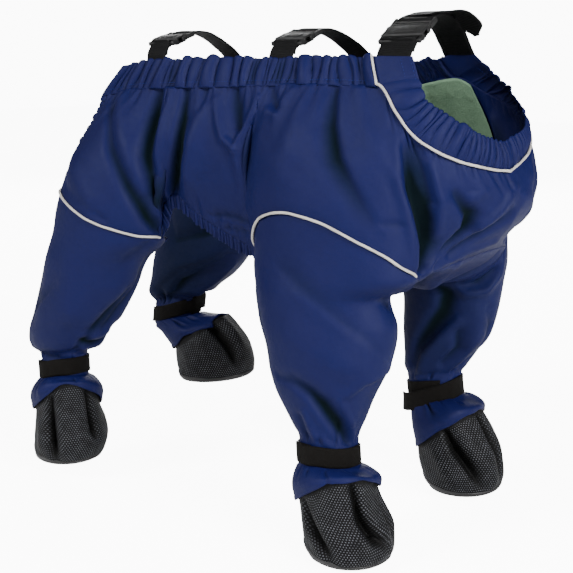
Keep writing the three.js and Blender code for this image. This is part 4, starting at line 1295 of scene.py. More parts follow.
@dataclass
class BodyPanel(Part):
    """The body's one panel: right rump, right side, chest, left side and left rump.

    near_columns: columns of its grid up to the centre front.
    far_columns: columns beyond it.
    waist_tails: least and most length of the creases below the waistbands.
    """

    near_columns: int = 262
    far_columns: int = 190
    rows: int = 86
    waist_tails: Pair = (9.0, 42.0)

    def stations(self) -> Array:
        """Returns: the station of each column, counted on past 4 at the centre front towards 8 at the left rump."""
        near = np.linspace(REAR_EDGE, 4, self.near_columns)
        return np.concatenate([near, np.linspace(4, 8 - REAR_EDGE, self.far_columns)[1:]])

    def build(self, waists: dict[str, "Waistband"]) -> Piece:
        """Args:
        waists: the waistbands, whose creases run on below them.

        Returns:
            The panel.
        """
        columns, depth = self.stations(), np.linspace(0, 1, self.rows)
        places = np.empty((self.rows, len(columns), 3))
        heights = np.zeros(places.shape[:2])
        for letter, pick in (("R", columns <= 4), ("L", columns > 4)):
            waist = waists[letter]
            station, down = np.meshgrid(np.minimum(columns[pick], 8 - columns[pick]), depth)
            down = self.trimmed(waist.side, station, down)
            places[:, pick] = waist.side.point(station, down)
            heights[:, pick] = self.gathers(waist, station, down)
        inside = np.array((0.0, 0.0, 400.0))
        normals = grid_normals(places, False, inside)
        u, down = np.meshgrid(columns, depth)
        for letter, folds, near in (("R", NEAR_FOLDS, u <= 4.3), ("L", FAR_FOLDS, u > 3.7)):
            heights[near] += fold_heights(places[near], normals[near], folds, SIDES[letter].point)
        heights += 0.7 * waves(u * 140 + down * 60, 31, 45, 110) * np.sin(np.pi * down)
        heights += 0.2 * waves(u * 140 - down * 110, 32, 22, 50) * np.sin(np.pi * down)
        ends = ease(u, REAR_EDGE, 0.2) * ease(8 - u, REAR_EDGE, 0.2)
        shown = heights * ends * ease(down, 0, 0.02) * (0.35 + 0.65 * ease(1 - down, 0, 0.06))
        # the hollows of the folds get painted shade
        made = GridMesh("body_panel", places + normals * shown[..., None], inside,
                        {"hollow": painted_shade_of(shown + 1.0, 7.0)})
        return made.sew(self.finishes.nylon, CLOTH)

    @staticmethod
    def trimmed(side: SideForm, station: Array, share: Array) -> Array:
        """Args:
        side: which side.
        station: stations of the grid.
        share: 0 at the panel's top edge and 1 at its bottom edge.

        Returns:
            Depths, clear of the casing along the belly.
        """
        casing = ease(station, 1.12, 1.14) * (1 - ease(station, 1.97, 1.99)) * EDGE_ELASTIC
        return (1 - casing / side.tall(station[0])) * share

    def gathers(self, waist: "Waistband", station: Array, depth: Array) -> Array:
        """Args:
        waist: the waistband above the side.
        station: stations of the grid.
        depth: depths of the grid.

        Returns:
            Heights of the puckers under the waistband, under the collar, above the belly edge and at the rump.
        """
        side, tall = waist.side, waist.side.tall(station[0])
        below, above = depth * tall, (1 - depth) * tall
        at = np.broadcast_to(waist.along(station[0]), depth.shape)
        total = waist.creases.tails(at, below, self.waist_tails) * (1 - ease(station, 2.76, 2.84))
        order = np.linspace(0, 4, 400)
        belly = ease(station, 1.04, 1.12) * (1 - ease(station, 1.94, 2.0))
        for seed, level, spacing, deep, off, reach, mask in (
            (71, 0.0, (3.0, 8.0), 1.0, below, (7.0, 26.0), ease(station, 2.80, 2.92)),
            (73, 1.0, (3.2, 8.5), 1.5, above, (8.0, 30.0), belly),
        ):
            seam = arc_lengths(side.point(order, level))
            run = PuckerRun.drawn(seed + side.index, float(seam[-1]), spacing, deep)
            at = np.broadcast_to(np.interp(station[0], order, seam), depth.shape)
            total += run.tails(at, off, reach) * mask
        back = lengths(side.point(0.0, 0.5) - side.point(1.0, 0.5))
        rump = PuckerRun.drawn(75 + side.index, 150.0, (4.0, 10.0), 1.6)
        return total + rump.tails(below, station * back, (8.0, 30.0)) * (1 - ease(station, 0.1, 0.35))


@dataclass
class Waistband(Part):
    """The gathered elastic channel along one side of the back's opening.

    letter: R or L.
    first: station where it starts.
    last: station where it ends.
    start: where its foot is, a little below its seam.
    """

    letter: str
    columns: int = 330
    rows: int = 18
    first: float = 0.03
    last: float = 2.776
    start: float = -0.08

    def __post_init__(self) -> None:
        """Works out the run of gathers, and the creases that go on below it."""
        self.side = SIDES[self.letter]
        self.order = np.linspace(0, 4, 500)
        self.travel = arc_lengths(self.side.band(self.order, 0.5))
        seed = 11 + self.side.index
        self.gathers = Gathers(seed, float(self.along(self.last)), (4.2, 20.0), 5.6, 5.0)
        rng = random.Random(seed + 100)
        self.creases = PuckerRun([(float(at), rng.uniform(0.35, 1.5), rng.random(), rng.uniform(-0.2, 0.2))
                                  for at in self.gathers.creases])

    def along(self, station: Values) -> Array:
        """Returns: millimetres along the waistband at stations."""
        return np.interp(station, self.order, self.travel)

    def build(self) -> list[Piece]:
        """Returns: the waistband and its row of stitches."""
        station, share = np.linspace(self.first, self.last, self.columns), np.linspace(0, 1, self.rows)[:, None]
        grid, up = alike(station, self.start + (1 - self.start) * share)
        places = self.side.band(grid, up)
        inside = np.array((-40.0, 0.0, 470.0))
        normals = grid_normals(places, False, inside)
        at = self.along(grid)
        puff = self.gathers.height(at, up)
        body = np.sin(np.pi * (share * 0.86 + 0.06)) ** 0.55
        top = ease(share, 0.72, 1.0)
        places = places + normals * ((puff - 3.1) * body)[..., None]
        places[..., 2] += top * (puff - 3.3) * 0.24 + top * 0.9 * waves(at, 41, 14, 60)
        # painted shade in the creases between the puffs
        hollow = np.clip((2.6 - puff) / 2.4, 0, 1) ** 1.2 * body
        made = GridMesh("waistband_" + self.letter, places, inside, {"hollow": hollow})
        return [made.sew(self.finishes.nylon, CASING), self.stitches(station)]

    def stitches(self, station: Array) -> Piece:
        """Args:
        station: stations of the row.

        Returns:
            The stitches along the foot of the channel.
        """
        outs = np.tile(np.array((0.0, self.side.side, 0.25)), (len(station), 1))
        off = CASING / 2 + 0.1 + (self.gathers.height(self.along(station), 0.1) - 1.9) * 0.45
        line = self.side.band(station, 0.13) + outs * off[:, None]
        return StitchRow(self.finishes, "waist_stitches_" + self.letter, line, outs).build()


@dataclass
class Shirring(Part):
    """A narrow elastic casing, finely ruffled, between a seam and a free edge.

    name: of the piece and of its CAD node.
    seam: the middle of its wall along the seam, (n, 3).
    edge: the same along the free edge.
    inside: a place that it faces away from.
    seed: which random run.
    cut: its flat cut; not used.
    spacing: least and most distance between its creases.
    height: of its puffs.
    tuck: share of its width that is tucked in at the seam.
    tuck_depth: how far in that is tucked.
    tuck_reach: how far up it is tucked.
    """

    name: str
    seam: Array
    edge: Array
    inside: Triple
    seed: int
    cut: Cut
    spacing: Pair = (2.6, 5.6)
    height: float = 2.4
    rows: int = 13
    tuck: float = 0.14
    tuck_depth: float = 1.3
    tuck_reach: float = 2.2

    def build(self) -> Piece:
        """Returns: the casing."""
        inside, share = np.array(self.inside), np.linspace(0, 1, self.rows)[:, None]
        places = self.seam * (1 - share[..., None]) + self.edge * share[..., None]
        normals = grid_normals(places, False, inside)
        at = arc_lengths(self.seam)
        puff = Gathers(self.seed, float(at[-1]), self.spacing, self.height, 1.0).height(*alike(at, share))
        rise = 0.55 + 0.45 * np.abs(share - 0.32) / 0.68
        ends = ease(at, 0, 3) * ease(at[-1] - at, 0, 3)
        tuck = 1 - ease(share, 0, self.tuck)
        heights = (puff - self.height * 0.55) * rise * ends * (1 - tuck) - self.tuck_depth * tuck
        frill = (puff - self.height * 0.5) * ease(share, 0.6, 1.0) * 0.45 * ends - self.tuck_reach * tuck
        places = places + normals * heights[..., None] + unit(self.edge - self.seam) * frill[..., None]
        # painted shade in the creases between the puffs
        hollow = np.clip((self.height * 0.5 - puff) / (self.height * 0.45), 0, 1)
        made = GridMesh(self.name, places, inside, {"hollow": hollow})
        return made.sew(self.finishes.nylon, SHIRRED)


@dataclass
class EdgeElastics(Part):
    """The ruffled casings along the belly, rump, inner thighs and the chest panel's rear."""

    def belly(self, side: SideForm) -> Shirring:
        """Returns: a side's casing along the belly edge between the legs."""
        station = np.linspace(1.0, 1.975, 230)
        start = (1 - ease(station, 1.09, 1.17))[:, None]
        on_thigh = start * np.array((9.0, 0.0, -3.0)) * ease(station, 0.99, 1.05)[:, None]
        hanging = (1 - start) * np.array((0.0, 0.0, -3.5)) * ease(1.98 - station, 0, 0.1)[:, None]
        seam = side.point(station, 1 - (EDGE_ELASTIC - SEAM + 0.6) / side.tall(station))
        seam = seam - start * np.array((0.0, side.side * 2.2, 0.0))
        return Shirring(self.finishes, "belly_elastic_" + side.letter, seam,
                        side.point(station, 1.0) + on_thigh + hanging, (-40.0, 0.0, 330.0), 51 + side.index,
                        Cut(250, 13), (2.6, 5.8), 3.6)

    def rump(self, side: SideForm) -> Shirring:
        """Returns: a side's casing down the rear edge."""
        depth = np.linspace(0.02, 0.975, 170)
        on = side.point(REAR_EDGE, depth)
        back = unit(on - side.point(REAR_EDGE + 0.1, depth))
        return Shirring(self.finishes, "rump_elastic_" + side.letter, on + back * SEAM, on + back * EDGE_ELASTIC,
                        (-120.0, 0.0, 400.0), 53 + side.index, Cut(130, 10), (4.5, 11.0), 1.7)

    def thigh(self, side: SideForm) -> Shirring:
        """Returns: a side's casing along the inner side of the hind leg's top."""
        leg, angle = side.hind, np.linspace(202.5, 337.5, 170)
        high, middle = leg.seam_height(angle), leg.point(0.0, 300.0)
        return Shirring(self.finishes, "thigh_elastic_" + side.letter, leg.point(angle, high - EDGE_ELASTIC),
                        leg.point(angle, high - SEAM / 2), (-215.0, middle[1], middle[2]), 55 + side.index,
                        Cut(160, 11))

    def chest(self) -> Shirring:
        """Returns: the casing along the chest panel's rear edge."""
        across = np.linspace(0.02, 0.98, 200)
        return Shirring(self.finishes, "chest_elastic", chest_point(across, 0.945), chest_point(across, 1.0),
                        (60.0, 0.0, 420.0), 57, Cut(190, 11))

    def build(self) -> list[Piece]:
        """Returns: the seven casings."""
        casings = [make(side) for side in SIDES.values() for make in (self.belly, self.rump, self.thigh)]
        return [casing.build() for casing in [*casings, self.chest()]]


@dataclass
class ChestPanel(Part):
    """The panel under the chest, between the forelegs.

    rear: where its gathered rear edge starts.
    wide: about how wide it is, in millimetres.
    long: about how long it is, in millimetres.
    """

    columns: int = 96
    rows: int = 64
    rear: float = 0.94
    wide: float = 170.0
    long: float = 150.0

    def build(self) -> Piece:
        """Returns: the panel."""
        across, back = np.meshgrid(np.linspace(0.0, 1.0, self.columns), np.linspace(0.0, self.rear, self.rows))
        places = chest_point(across, back)
        inside = np.array((60.0, 0.0, 460.0))
        normals = grid_normals(places, False, inside)
        run = PuckerRun.drawn(77, self.wide, (4.0, 9.0), 1.4)
        heights = fold_heights(places, normals, CHEST_FOLDS, chest_point)
        heights += run.tails(across * self.wide, (self.rear - back) * self.long, (10.0, 36.0))
        heights *= ease(across, 0.0, 0.05) * ease(1 - across, 0.0, 0.05) * ease(back, 0.0, 0.04)
        # the hollows of the folds get painted shade
        made = GridMesh("chest_panel", places + normals * heights[..., None], inside,
                        {"hollow": painted_shade_of(heights, 9.0)})
        return made.sew(self.finishes.nylon, CLOTH)


@dataclass
class Lining(Part):
    """The brushed lining inside one side of the chest, which shows through the neck.

    letter: R or L.
    behind: how far it lies inside the middle of the wall.
    clear: how much further it is kept in.
    back: station of its rear edge.
    front_top: station of its front edge at the top.
    front_bottom: the same at the bottom.
    tall: about how tall it is, in millimetres.
    """

    letter: str
    columns: int = 90
    rows: int = 46
    behind: float = 2.6
    clear: float = 1.2
    back: float = 2.05
    front_top: float = 2.9
    front_bottom: float = 3.12
    tall: float = 130.0

    def build(self) -> Piece:
        """Returns: the lining."""
        side, folds = SIDES[self.letter], NEAR_FOLDS if self.letter == "R" else FAR_FOLDS
        down, share = np.linspace(0, 1, self.rows)[:, None], np.linspace(0, 1, self.columns)
        front = self.front_top + (self.front_bottom - self.front_top) * down
        station = self.back + (front - self.back) * share
        margin = SEAM / self.tall
        depth = np.broadcast_to(margin + (1 - 2 * margin) * down, station.shape)
        places = side.point(station, depth, self.behind)
        inside = np.array((80.0, 0.0, 400.0))
        normals = -grid_normals(places, False, inside)
        soft = 0.5 * waves(station * 130 + depth * 90, 61, 40, 110) - 0.5
        soft -= 3.5 * np.exp(-(((station - 2.62 - 0.25 * depth) / 0.07) ** 2)) * ease(depth, 0.05, 0.3)
        soft += 2.0 * np.exp(-(((station - 2.45 + 0.1 * depth) / 0.10) ** 2)) * ease(depth, 0.0, 0.2)
        trough = np.maximum(-fold_heights(places, -normals, folds, side.point), 0) * 1.05
        edge = ease(share, 0, 0.1) * ease(1 - share, 0, 0.1) * ease(down, 0, 0.1) * ease(1 - down, 0, 0.1)
        off = np.maximum(soft, 0.0) * edge + self.clear + trough
        made = GridMesh("lining_" + self.letter, places + normals * off[..., None], inside)
        return made.sew(self.finishes.lining, LINING)


@dataclass
class Collar(Part):
    """The gathered elastic collar round the neck, with flat top corners.

    start: where its foot is, a little below its seam.
    even: over how many places its outward directions are evened out.
    piping_off: how far the piping's middle stands off the wall's.
    stitch_off: how far the stitches do.
    """

    columns: int = 520
    rows: int = 26
    start: float = -0.01
    even: int = 31
    piping_off: float = CASING / 2 + 2.7
    stitch_off: float = CASING / 2 + 0.25

    def __post_init__(self) -> None:
        """Finds its seam and its open edge, and how far along each place is from its side's corner."""
        along, sides = np.linspace(0, 1, self.columns // 2), SIDES.values()
        self.along = self.joined(along, along)
        self.seam = self.joined(*(side.neck_seam(along) for side in sides))
        self.edge = self.joined(*(side.neck_edge(along) for side in sides))

    @staticmethod
    def joined(right: Array, left: Array) -> Array:
        """Returns: a run from the right corner by the centre front to the left corner."""
        return np.concatenate([right, left[::-1][1:]])

    def line(self, up: float) -> Array:
        """Returns: places round the neck, up being 0 at the seam and 1 at the open edge."""
        return self.seam + (self.edge - self.seam) * up

    def build(self) -> list[Piece]:
        """Returns: the collar, its piping and its rows of stitches."""
        share = np.linspace(0, 1, self.rows)[:, None]
        up = (self.start + (1 - self.start) * share)[..., None]
        places = self.seam * (1 - up) + self.edge * up
        full, front = ease(self.along, 0.08, 0.30), ease(self.along, 0.62, 0.86)
        out = unit((places - np.array((120.0, 0.0, 0.0))) * np.array((1.0, 1.0, 0.0)))
        places = places + out * (3.6 * np.sin(np.pi * (share * 0.9 + 0.02)) * full)[..., None]
        inside = np.array((100.0, 0.0, 440.0))
        normals = grid_normals(places, False, inside)
        at = arc_lengths(self.line(0.6))
        wide, tight = (Gathers(seed, float(at[-1]), spacing, height, slant).height(*alike(at, share))
                       for seed, spacing, height, slant in ((21, (5.0, 15.0), 4.4, 6.0), (22, (3.0, 7.0), 3.8, 2.0)))
        puff = wide * (1 - front) + tight * front
        shown = np.sin(np.pi * (share * 0.84 + 0.08)) ** 0.6 * full * (1 - 0.55 * (1 - share) * (1 - front))
        lift = (puff - 2.2) * 0.5 * full * ease(share, 0.7, 1.0)
        places = places + normals * ((puff - 2.3) * shown)[..., None] + unit(self.edge - self.seam) * lift[..., None]
        # painted shade in the creases between the puffs
        hollow = np.clip((1.4 - puff) / 2.2, 0, 1) ** 1.3 * shown
        made = GridMesh("collar", places, inside, {"hollow": hollow}).sew(self.finishes.nylon, CASING)
        line, outs = self.stand(0.0, self.piping_off)
        return [made, Piping(self.finishes, "neck_piping", line, outs).build(), *self.corner_stitches()]

    def stand(self, up: float, off: float) -> tuple[Array, Array]:
        """Args:
        up: 0 at the seam, 1 at the open edge.
        off: millimetres out from the wall's middle.

        Returns:
            Places round the neck and their outward directions.
        """
        out = unit(np.cross(np.gradient(self.seam, axis=0), self.edge - self.seam))
        away = self.seam * np.array((1.0, 1.0, 0.0)) - np.array((100.0, 0.0, 0.0))
        out *= np.sign(np.sum(out * away, axis=1, keepdims=True))
        padded = np.pad(out, ((self.even // 2, self.even // 2), (0, 0)), mode="edge")
        weights = np.ones(self.even) / self.even
        out = unit(np.stack([np.convolve(column, weights, "valid") for column in padded.T], -1))
        return self.line(up) + out * off, out

    def corner_stitches(self) -> list[Piece]:
        """Returns: two rows of stitches across each flat corner."""
        rows, reach = [], int(self.columns * 0.12)
        for up, label in ((0.93, "edge"), (0.70, "inner")):
            line, outs = self.stand(up, self.stitch_off)
            for letter, part in (("R", slice(4, reach)), ("L", slice(-reach, -4))):
                name = f"corner_stitches_{label}_{letter}"
                rows.append(StitchRow(self.finishes, name, line[part], outs[part]).build())
        return rows


# ------------------------------------------------------------------------------------------- legs
LEG_FOLDS = {
    "hind_R": [
        Fold(((32, 0.22, -3, 5), (21, 0.19, -7.5, 6), (1, 0.18, -8, 6), (340, 0.21, -5, 6)), 0.35),
        Fold(((30, 0.27, 2.5, 6), (10, 0.27, 3.5, 6), (346, 0.29, 3, 7))),
        Fold(((26, 0.10, 2.5, 4), (4, 0.10, 3, 4), (346, 0.11, 2, 4))),
        Fold(((98, 0.07, -4, 5), (66, 0.07, -4.5, 4), (48, 0.04, -3, 4)), 0.3),
        Fold(((342, 0.88, -3, 8), (332, 0.66, -5, 10), (350, 0.46, -6, 10), (0, 0.30, -4, 8)), -0.3),
        Fold(((130, 0.37, -2, 6), (110, 0.48, -2.4, 7), (96, 0.58, -1, 7)), 0.3),
        Fold(((356, 0.62, -3, 6), (10, 0.42, -6, 7), (20, 0.28, -6, 7), (34, 0.14, -4, 6)), -0.3),
        Fold(((84, 0.72, 1.5, 18), (66, 0.44, 2.5, 20))),
        Fold(((20, 0.96, -2, 7), (26, 0.84, -2.5, 9), (30, 0.70, -1, 10))),
        Fold(((150, 0.80, -2, 12), (140, 0.55, -2.5, 13), (130, 0.30, -1.5, 10))),
        Fold(((250, 0.80, -4, 12), (262, 0.50, -5, 12), (250, 0.22, -4, 9))),
        Fold(((310, 0.70, 3, 12), (322, 0.42, 4, 13))),
    ],
    "hind_L": [
        Fold(((225, 0.19, 3, 7), (255, 0.36, 4.5, 8), (272, 0.52, 4, 8), (294, 0.61, 5, 8),
              (315, 0.71, 4, 9)), 0.3),
        Fold(((339, 0.10, 3, 6), (334, 0.31, 5, 7), (341, 0.53, 3.5, 8)), 0.3),
        Fold(((232, 0.78, -4, 10), (258, 0.70, -7, 11), (290, 0.84, -8, 12), (312, 0.92, -5, 12))),
        Fold(((282, 0.14, -6, 8), (290, 0.34, -8, 9), (306, 0.46, -6, 9), (330, 0.62, -4, 8)), -0.3),
        Fold(((250, 0.12, -5, 6), (262, 0.20, -4, 7))),
        Fold(((286, 0.07, 3, 4), (300, 0.10, 3.5, 4), (314, 0.07, 3, 4))),
        Fold(((60, 0.85, -3, 10), (66, 0.55, -5, 12), (54, 0.28, -3, 10))),
        Fold(((120, 0.80, -2, 12), (110, 0.45, -4, 13), (96, 0.20, -2, 9))),
    ],
    "fore_R": [
        Fold(((116, 0.80, -1, 8), (82, 0.71, -2.2, 9), (49, 0.66, -2.8, 9), (20, 0.60, -2.2, 8),
              (2, 0.56, -1, 7)), 0.4),
        Fold(((98, 0.52, 2, 18), (62, 0.47, 3.5, 17), (30, 0.47, 2.5, 12))),
        Fold(((353, 0.51, 2, 5), (10, 0.47, 3, 5), (28, 0.42, 3.2, 5), (41, 0.33, 2.5, 5)), -0.4),
        Fold(((120, 0.33, -2, 6), (98, 0.32, -4.5, 7), (82, 0.29, -7, 7), (68, 0.24, -9.5, 8),
              (52, 0.18, -9.5, 8),
              (32, 0.13, -8, 7), (12, 0.07, -4, 6)), 0.35),
        Fold(((46, 0.29, 2.5, 5), (26, 0.20, 3.5, 5), (4, 0.11, 2.5, 4)), -0.3),
        Fold(((92, 0.20, 2, 4), (84, 0.10, 3.5, 4), (92, 0.02, 1.5, 3))),
        Fold(((72, 0.10, 2.5, 4), (58, 0.06, 3, 3.5), (44, 0.04, 2, 3))),
        Fold(((104, 0.17, -3, 5), (108, 0.08, -3.5, 4))),
        Fold(((345, 0.88, -5, 6), (4, 0.86, -4, 6), (20, 0.84, -1, 6)), 0.3),
        Fold(((150, 0.74, -2, 12), (146, 0.46, -2.5, 12))),
        Fold(((230, 0.85, -3, 12), (238, 0.50, -4, 14), (226, 0.22, -3, 10))),
        Fold(((300, 0.80, -3, 12), (310, 0.46, -5, 13), (322, 0.20, -3, 9))),
    ],
    "fore_L": [
        Fold(((352, 1.0, 2, 5), (347, 0.88, 4.5, 5), (330, 0.84, 6, 5), (306, 0.89, 5.5, 5),
              (288, 0.98, 2, 5)), 0.3),
        Fold(((338, 0.95, -5, 6), (320, 0.94, -6.5, 6), (302, 0.98, -4, 6))),
        Fold(((268, 1.0, -5, 10), (284, 0.88, -9, 12), (280, 0.74, -8, 12), (266, 0.60, -7, 11),
              (250, 0.44, -6, 10),
              (243, 0.25, -4, 8)), 0.35),
        Fold(((300, 0.66, 3, 6), (281, 0.52, 5.5, 6), (264, 0.35, 5.5, 6), (254, 0.12, 3, 5)), 0.3),
        Fold(((304, 0.54, -5, 7), (314, 0.38, -6, 7), (302, 0.26, -4, 6)), 0.2),
        Fold(((339, 0.66, -3, 7), (357, 0.48, -4.5, 7), (2, 0.33, -3, 6))),
        Fold(((326, 0.66, 2.5, 10), (334, 0.42, 3.5, 9), (330, 0.20, 2, 7))),
        Fold(((14, 0.26, -4.5, 5), (352, 0.20, -4, 6), (334, 0.17, -2, 6))),
        Fold(((80, 0.85, -3, 12), (92, 0.50, -4, 13), (84, 0.22, -3, 9))),
        Fold(((150, 0.80, -3, 12), (142, 0.48, -4, 13), (130, 0.20, -3, 9))),
    ],
}


@dataclass(frozen=True)
class BootForm:
    """The form of one boot and of its cuff.

    sole: its sole's centre, (x, y, z).
    half: half its length and half its width.
    pitch: degrees by which its toe points up.
    cuff: the centre of the cuff's lower edge.
    cuff_half: half that edge's length and width.
    cuff_pitch: degrees by which it rises forward.
    arch: how far the edge is lifted on the side that arch_at faces.
    folds: of its upper.
    crumple: how deep the cuff's creases are.
    arch_power: how narrow that lift is.
    swell: how far the cuff bulges.
    """

    name: str
    sole: Triple
    half: Pair
    pitch: float
    cuff: Triple
    cuff_half: Pair
    cuff_pitch: float
    arch: float
    arch_at: float
    folds: tuple[Fold, ...]
    crumple: float
    arch_power: float = 2.0
    swell: float = 5.0

    @property
    def leg(self) -> LegForm:
        """The leg it belongs to."""
        return LEGS[self.name]

    def ring(self, centre: Array, long: float, wide: float, pitch: float, angle: Array) -> Array:
        """Args:
        centre: of the ring.
        long: half its length.
        wide: half its width.
        pitch: degrees by which it rises forward.
        angle: degrees round it.

        Returns:
            Places on the ring.
        """
        forward, sideways = long * cosine(angle), self.leg.side * wide * sine(angle)
        return centre + np.stack([forward * cosine(pitch), sideways, forward * sine(pitch)], -1)

    def cuff_point(self, angle: Values, down: Values) -> Array:
        """Args:
        angle: degrees round the leg.
        down: 0 at the middle of the ankle strap, 1 at the cuff's lower edge.

        Returns:
            Places on the cuff.
        """
        angle, down = alike(angle, down)
        hem = self.ring(np.array(self.cuff, float), *self.cuff_half, self.cuff_pitch, angle)
        hem[..., 2] += self.arch * (0.5 + 0.5 * cosine(angle - self.arch_at)) ** self.arch_power
        above = self.leg.ankle_point(angle, -(SEAM / 2 + (BAND_LOW - SEAM / 2) * np.minimum(down / CUFF_START, 1)))
        share = np.maximum(down - CUFF_START, 0) / (1 - CUFF_START)
        wide = 1 - (1 - share) ** 2.3
        places = above + (hem - above) * np.stack([wide, wide, share], -1)
        room = np.clip((above[..., 2] - hem[..., 2]) / 22, 0.15, 1)
        swell = self.swell * room * np.sin(np.pi * share**0.8) ** 1.2
        out = np.stack([cosine(angle), self.leg.side * sine(angle), np.zeros(angle.shape)], -1)
        return places + swell[..., None] * out

    def rings(self, angle: Array) -> Array:
        """Args:
        angle: degrees round the boot, (n,).

        Returns:
            The boot's seven rings from under the cuff to the sole, (7, n, 3).
        """
        rows = []
        for down in (0.67, 1.0):
            on = self.cuff_point(angle, down)
            rows.append(on - 2.1 * unit(on - on.mean(axis=0)))
        sole, cuff = np.array(self.sole, float), np.array(self.cuff, float)
        for up, size, push in ((0.74, 1.04, 4), (0.45, 1.09, 6), (0.2, 1.06, 4), (0.06, 0.97, 2), (0.0, 0.76, 0)):
            centre = sole + (cuff - sole) * up - BACKWARD * push
            long, wide = ((low + (high - low) * up) * size for low, high in zip(self.half, self.cuff_half))
            rows.append(self.ring(centre, long, wide, self.pitch + (self.cuff_pitch - self.pitch) * up, angle))
        return np.array(rows)

    def surface(self, angle: Array, level: Array) -> Array:
        """Args:
        angle: degrees round the boot, (n,).
        level: 0 at the first ring and 6 at the last, (m, n) or (m, 1).

        Returns:
            Places on the smooth surface through the rings, (m, n, 3).
        """
        rings = self.rings(angle)
        curve = Curve(np.concatenate([np.arange(7.0)[:, None], rings.reshape(7, -1)], axis=1))
        level = np.broadcast_to(level, (level.shape[0], len(angle)))
        out = np.empty((*level.shape, 3))
        for i, (high, low) in enumerate(zip(rings[5], rings[6])):
            out[:, i] = curve.at(level[:, i])[:, 3 * i : 3 * i + 3]
            under = level[:, i] > 5
            share = level[under, i] - 5
            curved = 1 - np.sqrt(1 - share**2)
            out[under, i] = high + (low - high) * np.stack([curved, curved, share], -1)
        return out


BOOTS = {
    boot.name: boot
    for boot in (
        BootForm("fore_R", (112, -120, 3), (42, 42), 0, (97, -119, 58), (42, 41), 14, 31, 58, (
            Fold(((122, 1.35, -6.5, 4), (112, 2.2, -13.3, 6), (98, 3.2, -11.6, 6), (86, 4.2, -3, 6)), 0.42),
            Fold(((42, 1.2, -6.5, 4), (34, 1.9, -15.0, 6), (20, 2.8, -15.0, 7), (2, 3.6, -4, 6)), -0.3),
            Fold(((52, 1.5, 1.5, 5), (44, 2.8, 3, 5), (34, 4.0, 2, 6))),
            Fold(((98, 1.6, 1.5, 6), (84, 2.8, 2, 8))),
            Fold(((350, 1.5, -3, 5), (340, 3.0, -6.5, 7))),
            Fold(((180, 1.4, -3, 6), (190, 3.0, -3, 8))),
            Fold(((250, 1.4, -4, 5), (262, 2.8, -6.5, 7)))), 1.40),
        BootForm("fore_L", (137, 102, 6), (42, 43), 2, (116, 102, 71), (45, 42), 37, 7, 300, (
            Fold(((283, 1.2, -10.0, 5), (290, 2.0, -15.0, 7), (302, 3.0, -13.3, 7), (318, 4.2, -4, 7)), 0.42),
            Fold(((352, 1.15, -10.0, 4), (358, 2.2, -15.0, 6), (2, 3.2, -10.0, 6), (4, 4.0, -3, 6)), -0.2),
            Fold(((330, 1.2, 2, 7), (338, 2.6, 3, 8), (346, 4.0, 2, 7))),
            Fold(((262, 1.6, 2, 7), (270, 3.0, 2.5, 8))),
            Fold(((60, 1.4, -4, 5), (72, 2.8, -6.5, 7))),
            Fold(((150, 1.4, -3, 6), (140, 3.0, -4, 8)))), 1.68),
        BootForm("hind_R", (-295, -107, 19), (39, 40), 0, (-294, -106, 77), (39, 40), 3, 43, 42, (
            Fold(((80, 1.25, -6.5, 4), (82, 2.0, -15.0, 5.5), (80, 3.0, -15.0, 6), (74, 4.0, -6.5, 7)), 0.42),
            Fold(((60, 1.4, 1.5, 5), (56, 2.6, 2.5, 6), (54, 3.8, 1.5, 7))),
            Fold(((6, 1.1, -10.0, 4), (2, 2.2, -11.6, 5), (0, 3.0, -3, 6)), -0.2),
            Fold(((104, 1.8, 2, 6), (102, 3.2, 2, 7))),
            Fold(((150, 1.3, -3, 6), (160, 3.0, -4, 8))),
            Fold(((300, 1.3, -4, 5), (290, 3.0, -6.5, 7)))), 1.40, 3.0),
        BootForm("hind_L", (-229, 108, 76), (52, 45), 8, (-253, 108, 136), (44, 40), 36, -5, 300, (
            Fold(((318, 1.05, -10.0, 5), (326, 1.8, -15.0, 7), (332, 2.8, -13.3, 7), (334, 3.8, -4, 7)), 0.28),
            Fold(((292, 1.4, 2, 8), (296, 2.8, 2.5, 10))),
            Fold(((354, 1.4, 2.5, 8), (352, 2.8, 3, 9))),
            Fold(((60, 1.4, -4, 5), (70, 2.8, -6.5, 7))),
            Fold(((190, 1.4, -3, 6), (180, 3.0, -3, 8)))), 3.08),
    )
}


@dataclass(frozen=True)
class BandForm:
    """How one ankle strap lies.

    start: degrees round the leg where it starts.
    turn: 1 if it goes on towards larger degrees, -1 if towards smaller ones.
    tilt: how far it rises on the side that high_at faces.
    drop: how far its end slants down.
    loose: how far its end stands off.
    lap: degrees by which it overlaps itself.
    half: half its width.
    """

    start: float = 96.0
    turn: int = 1
    tilt: float = 0.0
    high_at: float = 326.0
    drop: float = 0.0
    loose: float = 0.0
    lap: float = 46.0
    half: float = 10.0


BANDS = {
    "fore_R": BandForm(),
    "fore_L": BandForm(start=306.0, turn=-1, tilt=2.5, high_at=34.0, drop=13.0, loose=4.0, lap=96.0, half=11.0),
    "hind_R": BandForm(tilt=2.5),
    "hind_L": BandForm(start=348.0, tilt=1.0, high_at=34.0, drop=-7.0, loose=3.0),
}
# how much painted shade the inner faces of the left legs get, and between which degrees the piping runs
SHADED = {"hind_L": 0.62, "fore_L": 0.3}
PIPED = {"hind_R": (4.0, 145.0), "hind_L": (4.0, 174.0), "fore_L": (34.0, 174.0), "fore_R": (4.0, 165.0)}


